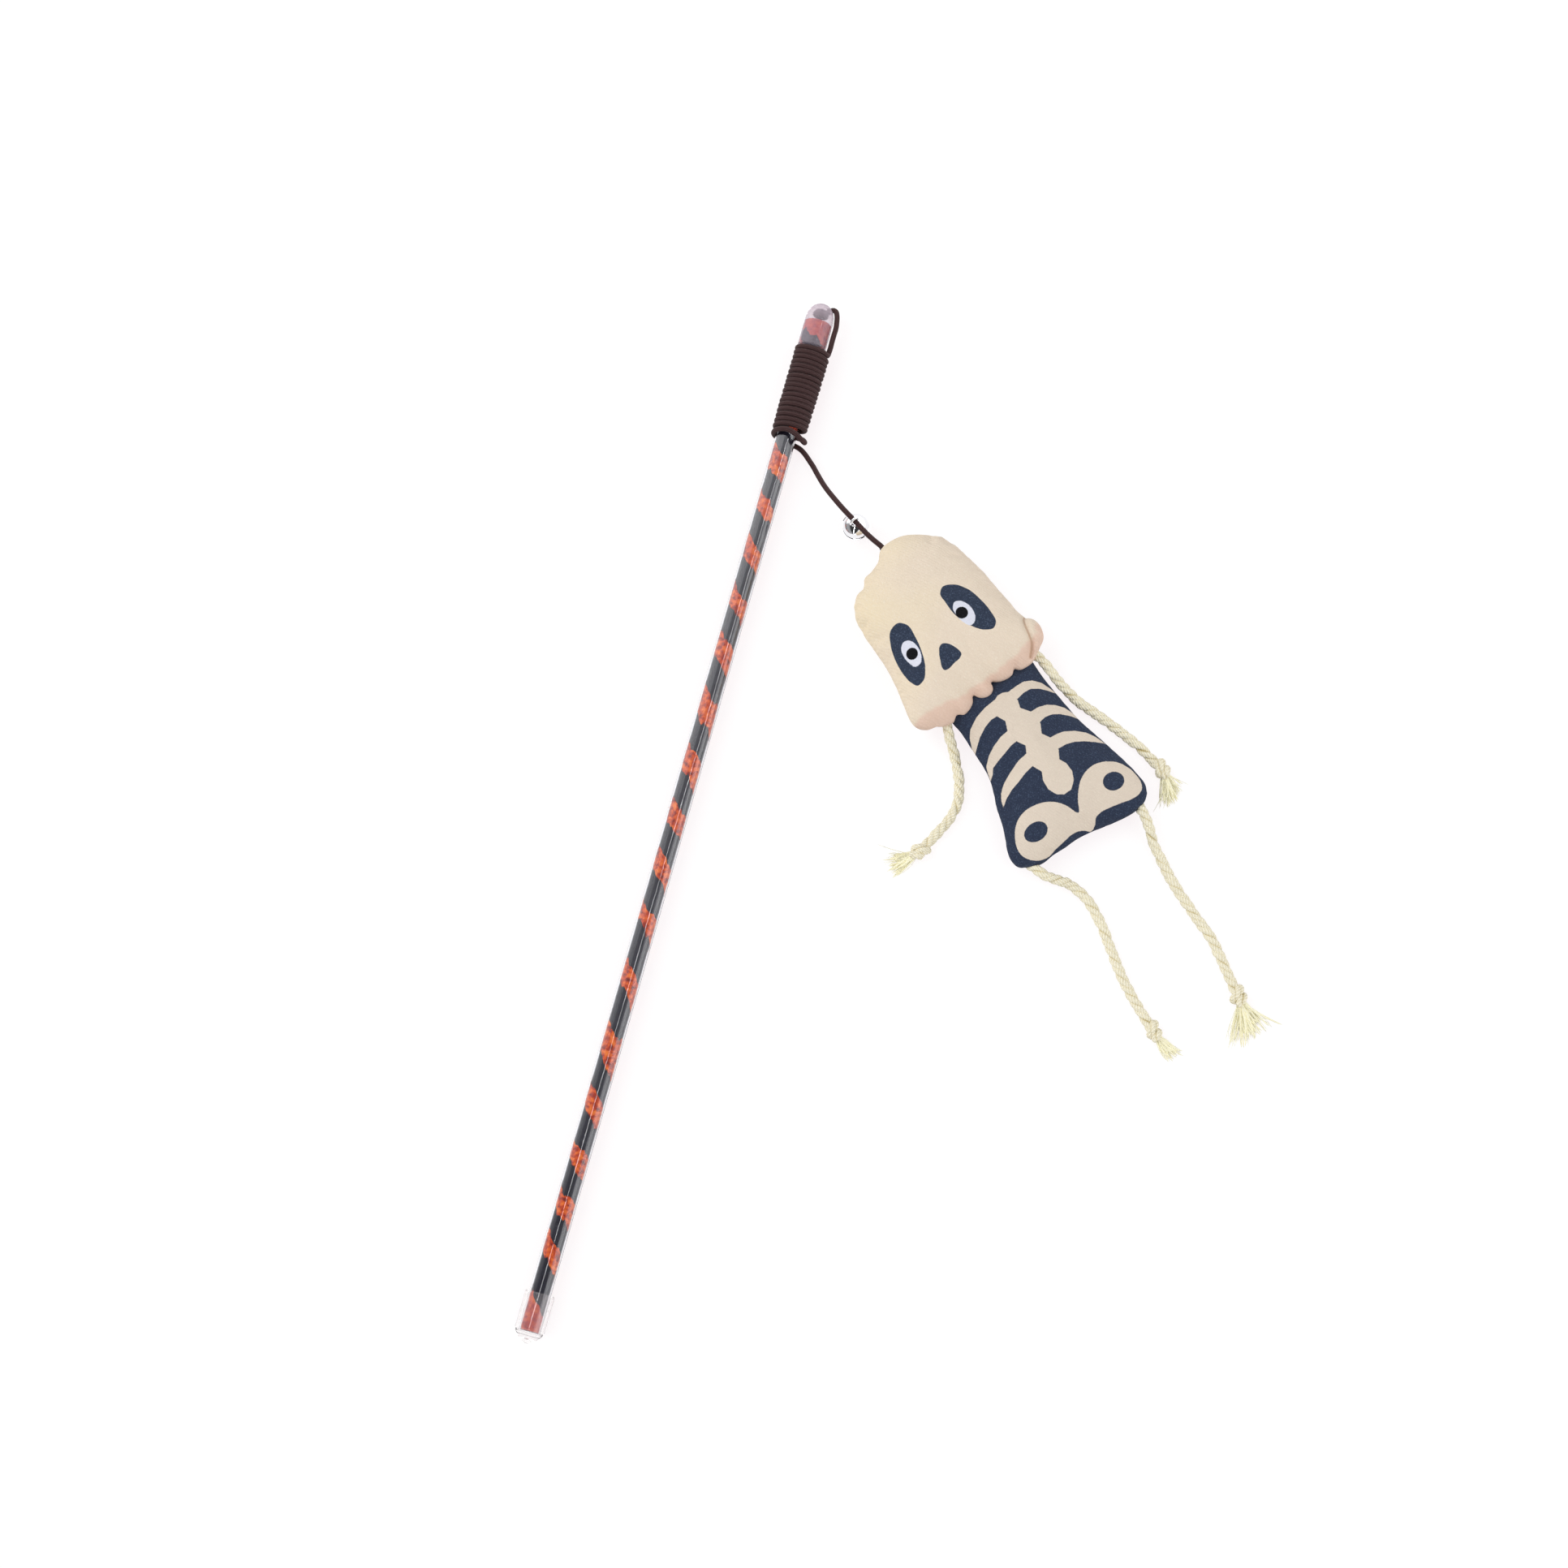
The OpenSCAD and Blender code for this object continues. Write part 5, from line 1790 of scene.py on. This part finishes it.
class Torso(StuffedPad):
    """The doll's torso, with a ribcage and pelvis printed on it."""

    hole_size: float = 1.07

    def seam_height(self, edge: Points) -> Points:
        """Lifts the seam at the neck, inside the head."""
        return self.sizes.seam_z + 2.2 * np.exp(-(((edge[:, 0] + 5.5) / 4.5) ** 2))

    def marks(self, points: Points, front: Points) -> dict[str, Points]:
        """Values for the bones' print.

        Args:
            points: (n, 3) finished points.
            front: (n,) whether a point faces up.

        Returns:
            Distance inside the printed bones.
        """
        flat = points[:, :2]
        solid = np.maximum(print_distance(flat, (SPINE, *RIBS), smooth=False),
            print_distance(flat, (PELVIS,)))
        for x, y, length, width in HOLES:
            hole = (self.hole_size - np.hypot((flat[:, 0] - x) / width, (flat[:, 1] - y) / length)) * 3.3
            solid = np.minimum(solid, -hole)
        return {"bone": np.where(front, solid, self.behind)}


# The rope limbs


@dataclass(frozen=True)
class RopeSizes:
    """A three-strand cotton rope and its knot, in mm.

    Attributes:
        strand_r: Radius of a strand.
        strand_off: Distance of a strand's middle from the rope's.
        lay: Length of one whole twist.
        diameter: Nominal diameter of the rope; not used.
        knot_d: Height of the knot.
        sides: Points round a strand.
        lift: How much higher the rope lies than its route.
        blend_reach: Not used.
        knot_strand: Radius, distance from the middle and twist of the knot's strands.
        wrap_r: Radius of the knot's turns.
        wrap_uneven: Share by which that varies.
        wrap_pitch: How far along the limb one turn goes.
        wrap_lean: How far each turn leans.
        uneven_turn: How unevenly the strands turn, in radians.
        uneven_size: Share by which a strand's radius varies.
    """

    strand_r: float = 1.06
    strand_off: float = 0.9
    lay: float = 10.4
    diameter: float = 4.0
    knot_d: float = 6.0
    sides: int = 12
    lift: float = 0.24
    blend_reach: float = 2.4
    knot_strand: tuple[float, float, float] = (0.9, 0.72, 9.0)
    wrap_r: float = 1.62
    wrap_uneven: float = 0.09
    wrap_pitch: float = 3.0
    wrap_lean: float = 0.7
    uneven_turn: float = 0.25
    uneven_size: float = 0.06


@dataclass(frozen=True)
class LimbRoute:
    """Where a limb lies, in the torso's frame in mm.

    Attributes:
        name: Its body's name.
        points: The rope's route outside the seam.
        knot: Middle of the knot.
        tassel_ends: Ends of the outermost yarns and of some between.
        root: The rope's route inside the seam.
        yarns: Number of thick yarns.
        seed: Seed of its random draws.
    """

    name: str
    points: tuple
    knot: tuple[float, float]
    tassel_ends: tuple
    root: tuple
    yarns: int
    seed: int


LEFT_ARM = LimbRoute(
    "left_arm",
    ((2.9096, -21.0045, 7.0), (4.9096, -21.8045, 6.6), (7.9096, -22.6045, 5.0), (12.4096, -24.0045, 2.5),
        (16.9096, -25.8045, 2.0), (21.9096, -28.4045, 2.0), (26.9096, -32.4045, 2.0),
        (29.9096, -37.5045, 2.0), (31.9096, -43.5045, 2.0), (33.5096, -49.5045, 2.0)),
    (34.2, -53.0), ((26.1, -64.0), (34.0, -66.1), (38.2, -65.5)),
    ((-7.0, -18.3, 8.5), (-3.5, -19.3, 7.8), (-0.3, -20.2, 7.3)), 46, 21)
RIGHT_ARM = LimbRoute(
    "right_arm",
    ((2.0804, 22.1184, 7.0), (4.2804, 22.2184, 6.6), (8.0804, 22.9184, 5.0), (12.5804, 23.9184, 2.5),
        (17.5804, 25.3184, 2.0), (27.0804, 29.1184, 2.0), (36.5804, 32.5184, 2.0), (45.0804, 35.1184, 2.0),
        (52.0804, 36.5184, 2.0)),
    (55.2, 37.0), ((66.3, 27.5), (68.7, 34.2), (64.2, 41.6)),
    ((-8.0, 19.0, 8.6), (-4.0, 20.9, 7.8), (-1.0, 21.8, 7.3)), 52, 22)
LEFT_LEG = LimbRoute(
    "left_leg",
    ((64.3297, -20.6382, 7.0), (66.6297, -19.6382, 6.7), (69.8297, -16.6382, 5.0), (73.8297, -13.2382, 2.5),
        (78.3297, -11.6382, 2.0), (85.3297, -11.0382, 2.0), (93.3297, -12.0382, 2.0), (102.33, -13.8382, 2.0),
        (111.83, -15.6382, 2.0), (121.33, -16.4382, 2.0), (130.33, -16.6382, 2.0)),
    (134.0, -16.8), ((145.3, -10.3), (146.0, -14.0), (145.4, -18.7)),
    ((58.0, -22.4, 4.2), (61.2, -21.7, 5.6)), 42, 23)
RIGHT_LEG = LimbRoute(
    "right_leg",
    ((66.5336, 22.1601, 7.0), (68.7336, 21.9601, 6.7), (72.5336, 20.9601, 5.0), (77.5336, 19.7601, 2.5),
        (82.5336, 19.0601, 2.0), (90.5336, 18.2601, 2.0), (99.5336, 18.1601, 2.0), (108.534, 18.3601, 2.0),
        (116.534, 18.7601, 2.0), (125.534, 17.5601, 2.0), (135.534, 15.9601, 2.0)),
    (138.9, 15.4), ((150.9, 1.6), (155.0, 8.1), (155.2, 13.0), (154.7, 22.1)),
    ((60.0, 22.8, 4.2), (63.3, 22.5, 5.6)), 60, 24)


class RopeLimb:
    """A rope arm or leg with an overhand knot and a frayed end."""

    def __init__(self, route: LimbRoute, sizes: RopeSizes) -> None:
        """Keeps what the limb is."""
        self.route, self.sizes = route, sizes

    def centre_line(self) -> Points:
        """The rope's route, from its root inside the seam into the knot.

        Returns:
            (n, 3) points in the torso's frame.
        """
        line = smooth_path(np.array([*self.route.root, *self.route.points, (*self.route.knot, 2.6)]), 0.45)
        line[:, 2] += self.sizes.lift
        return line

    def strands(self, line: Points, radius: float, off: float, lay: float, count: int, phase: float) -> Patch:
        """Twists strands round a line.

        Formula: strand k is c(s) + off (cos q N + sin q B) with q = -2 pi (s / lay + k / count).

        Args:
            line: (n, 3) centre line.
            radius: Radius of a strand.
            off: Its distance from the line.
            lay: Length of one whole twist.
            count: How many strands.
            phase: Turn at the start, in radians.

        Returns:
            The strands, marked with how deep each point lies in a groove, where the cotton's material paints
            shade.
        """
        run = run_along(line)
        _, normal, binormal = carried_frames(line)
        s = self.sizes
        out = []
        for k in range(count):
            uneven = s.uneven_turn * ripple(run, self.route.seed + 3 * k, 9.0)
            q = -2 * math.pi * (run / lay + k / count) + phase + uneven
            size = radius * (1 + s.uneven_size * ripple(run, self.route.seed + 50 + k, 4.0))
            strand = line + off * (np.cos(q)[:, None] * normal + np.sin(q)[:, None] * binormal)
            patch = tube(strand, size, s.sides)
            rows = np.repeat(np.arange(len(line)), s.sides)
            reach = np.linalg.norm(patch.points - line[rows], axis=1)
            patch.marks["groove"] = np.clip(1 - (reach - off * 0.9) / (radius * 0.75), 0, 1)
            out.append(patch)
        return joined(out)

    def heading(self) -> tuple[Points, Points]:
        """Which way the limb leads into its knot.

        Returns:
            The flat directions along the limb and across it.
        """
        ahead = np.array(self.route.knot) - np.array(self.route.points[-1][:2])
        ahead = ahead / np.linalg.norm(ahead)
        return ahead, np.array([-ahead[1], ahead[0]])

    def knot(self) -> Patch:
        """A knot drawn tight at the rope's end: the rope wraps round itself and tucks under.

        Formula: c(t) = (k t - b cos t, R cos t, R sin t) along, across and up, with R a little uneven.

        Returns:
            The knot's strands in the torso's frame.
        """
        s = self.sizes
        along, across = self.heading()
        t = np.linspace(-0.7 * math.pi, 2.8 * math.pi, 80)
        share = t / (2 * math.pi)
        tucked = np.interp(t, [t[0], t[10], t[-12], t[-1]], [0.4, 1, 1, 0.4])
        reach = s.wrap_r * (1 + s.wrap_uneven * ripple(t, self.route.seed + 7, 2.5)) * tucked
        e, w, z = s.wrap_pitch * (share - 0.5) - s.wrap_lean * np.cos(t), reach * np.cos(t), reach * np.sin(t)
        flat = np.array(self.route.knot) + e[:, None] * along + w[:, None] * across
        line = np.column_stack([flat, s.knot_d / 2 - 0.05 + z])
        return self.strands(line, *s.knot_strand, 3, 0.4)

    def yarns(self) -> Patch:
        """The frayed yarns and fibres beyond the knot.

        Formula: yarn k leaves the knot along the limb and bends towards its own place between the
        fan's measured ends, p(w) = a + w (b - a) + side w (1 - w), and sinks to the table.

        Returns:
            The tassel in the torso's frame.
        """
        r = self.route
        rng = np.random.default_rng(r.seed)
        along, _ = self.heading()
        knot = np.array(r.knot) + along * 1.4
        ends = np.array(r.tassel_ends)
        spot = np.linspace(0, 1, len(ends))
        middle = ends.mean(0)
        lead = (middle - knot) / np.linalg.norm(middle - knot)
        side = np.array([-lead[1], lead[0]])
        w = np.linspace(0, 1, 7)
        out = []
        for k in range(r.yarns * 3):
            fine, stray = k >= r.yarns, k % 19 == 0
            share = rng.beta(1.6, 1.6) if not stray else rng.uniform(-0.15, 1.15)
            end = np.array([np.interp(np.clip(share, 0, 1), spot, ends[:, i]) for i in range(2)])
            end = end + side * (share - np.clip(share, 0, 1)) * 12
            end = knot + (end - knot) * (rng.uniform(0.62, 1.0) if not stray else rng.uniform(1.0, 1.1))
            start = knot + lead * rng.uniform(-0.2, 0.8) + side * rng.normal(0, 0.45)
            bend = side * rng.normal(0, 1.0) + lead * rng.uniform(0.4, 2.0)
            flat = start + w[:, None] * (end - start) + (w * (1 - w))[:, None] * bend * 2
            top, low = rng.uniform(1.0, 4.2), rng.uniform(0.15, 1.5)
            z = low + (top - low) * (1 - w) ** 1.5
            radius = rng.uniform(0.07, 0.15) if fine else rng.uniform(0.28, 0.44)
            path = smooth_path(np.column_stack([flat, z]), 1.3)
            taper = radius * (1 - 0.45 * np.linspace(0, 1, len(path)) ** 2)
            patch = tube(path, taper, 3 if fine else 5)
            patch.marks["groove"] = np.full(len(patch.points), rng.uniform(0.0, 0.3))
            out.append(patch)
        return joined(out)

    def build(self, rope_finish: Material, yarn_finish: Material) -> None:
        """Args:
            rope_finish: Material of the rope and the knot.
            yarn_finish: Material of the tassel.
        """
        r, s = self.route, self.sizes
        line = self.centre_line()
        strands = self.strands(line, s.strand_r, s.strand_off, s.lay, 3, r.seed * 1.0)
        rope = make_object(f"{r.name}_strands", laid(strands, TORSO_PLACE), rope_finish)
        pivot = TORSO_PLACE.lay(np.array([r.points[0]], float))[0]
        nearby = TORSO_PLACE.lay(np.array([r.points[1]]))[0]
        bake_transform(rope)
        knot = make_object(f"{r.name}_overhand", laid(self.knot(), TORSO_PLACE), rope_finish)
        tassel = make_object(f"{r.name}_fray", laid(self.yarns(), TORSO_PLACE), yarn_finish)
        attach(knot, r.name)
        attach(tassel, r.name)
        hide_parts(f"{r.name}_rope")
        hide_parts(f"{r.name}_knot")
        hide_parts(f"{r.name}_tassel")
        route = TORSO_PLACE.lay(line) * MM


def main() -> None:
    """Builds the scene in order: camera, elastic cord, rope limbs, wand, bell, doll and studio."""
    logging.basicConfig(level=logging.INFO, format="%(name)s %(message)s")
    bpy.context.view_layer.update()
    PhotoCamera().build()
    # The second colour of each braid is painted shade in its grooves
    braid = BraidedElastic().make()
    knotted = BraidedElastic("knotted_elastic", "42302f", "2c1f1e", thread=1.1, knotted=True).make()
    # The second colour of each cotton is painted shade between its strands and fibres
    rope = CottonYarn("cotton_rope", "fdf7e0", "d2c084", 4.0, -4.2, 0.35, 0.3).make()
    fray = CottonYarn("cotton_fray", "fffce2", "f8f0c8", 2.0, 4.0, 0.8, 0.03).make()
    ElasticCord(CordSizes()).build(braid)
    for route in (LEFT_ARM, RIGHT_ARM, LEFT_LEG, RIGHT_LEG):
        RopeLimb(route, RopeSizes()).build(rope, fray)

    wand = Wand(WandSizes())
    wand.build(LiningFilm().make(), FuzzyStrip().make())
    wand.dress(
        ClearPlastic("clear_tube", "fbfcff", 0.02, 1.49, 0.6, 0.12, grip=182.4).make(),
        ClearPlastic("clear_rubber", "fdfbfb", 0.2, 1.46, 1.4, 0.25, milk=0.2, cloud=(191.0, 198.0, 0.55),
            middle=(-79.1145, 186.0, AXIS_Z)).make(),
        ClearPlastic("clear_rubber_low", "fdfbfb", 0.04, 1.3, 1.4, 0.2, milk=0.05, milk_tint="f6f0f2").make(),
        knotted)

    plated = PlatedSteel("plated_steel", "f2f2f5", 0.07, 0.08).make()
    for name in ("bell_upper_shell", "bell_lower_shell", "bell_eyelet"):
        dress_node(name, plated)
    dress_node("bell_pellet", PlatedSteel("steel_pellet", "a9a9ad", 0.3, 0.2).make())
    dress_node("anchor_knot", knotted)

    # The head's layer along the cheek's crease is painted shade, and its last colour is a painted warm light
    # towards the top-left
    skull = PrintedCloth(
        "printed_cloth", "ebdbc8", "e6d6c2", "f1e6d6",
        (PrintLayer("jaw", "e6c9b6", "edd5c6", 0.9), PrintLayer("fold", "c2a085", "ccab92", 0.35),
            PrintLayer("navy", "313a4c", "55637a"), PrintLayer("white", "dfe1ee", "eaecf6"),
            PrintLayer("pupil", "0e0e13", "202028")),
        1.0, "efdfbc").make()
    bones = PrintedCloth(
        "navy_cloth", "2b3346", "313a4e", "4c5b72", (PrintLayer("bone", "e0d2c2", "e9dece"),), 0.9).make()
    Head("stuffed_head", HEAD_SIZES, HEAD_PLACE).build(skull, ("head_front_panel", "head_back_panel",
        "head_filling"), "printed_cloth")
    Torso("stuffed_torso", TORSO_SIZES, TORSO_PLACE).build(bones, ("torso_front_panel", "torso_back_panel",
        "torso_filling"), "navy_cloth")

    Studio().build()


if __name__ == "__main__":
    main()
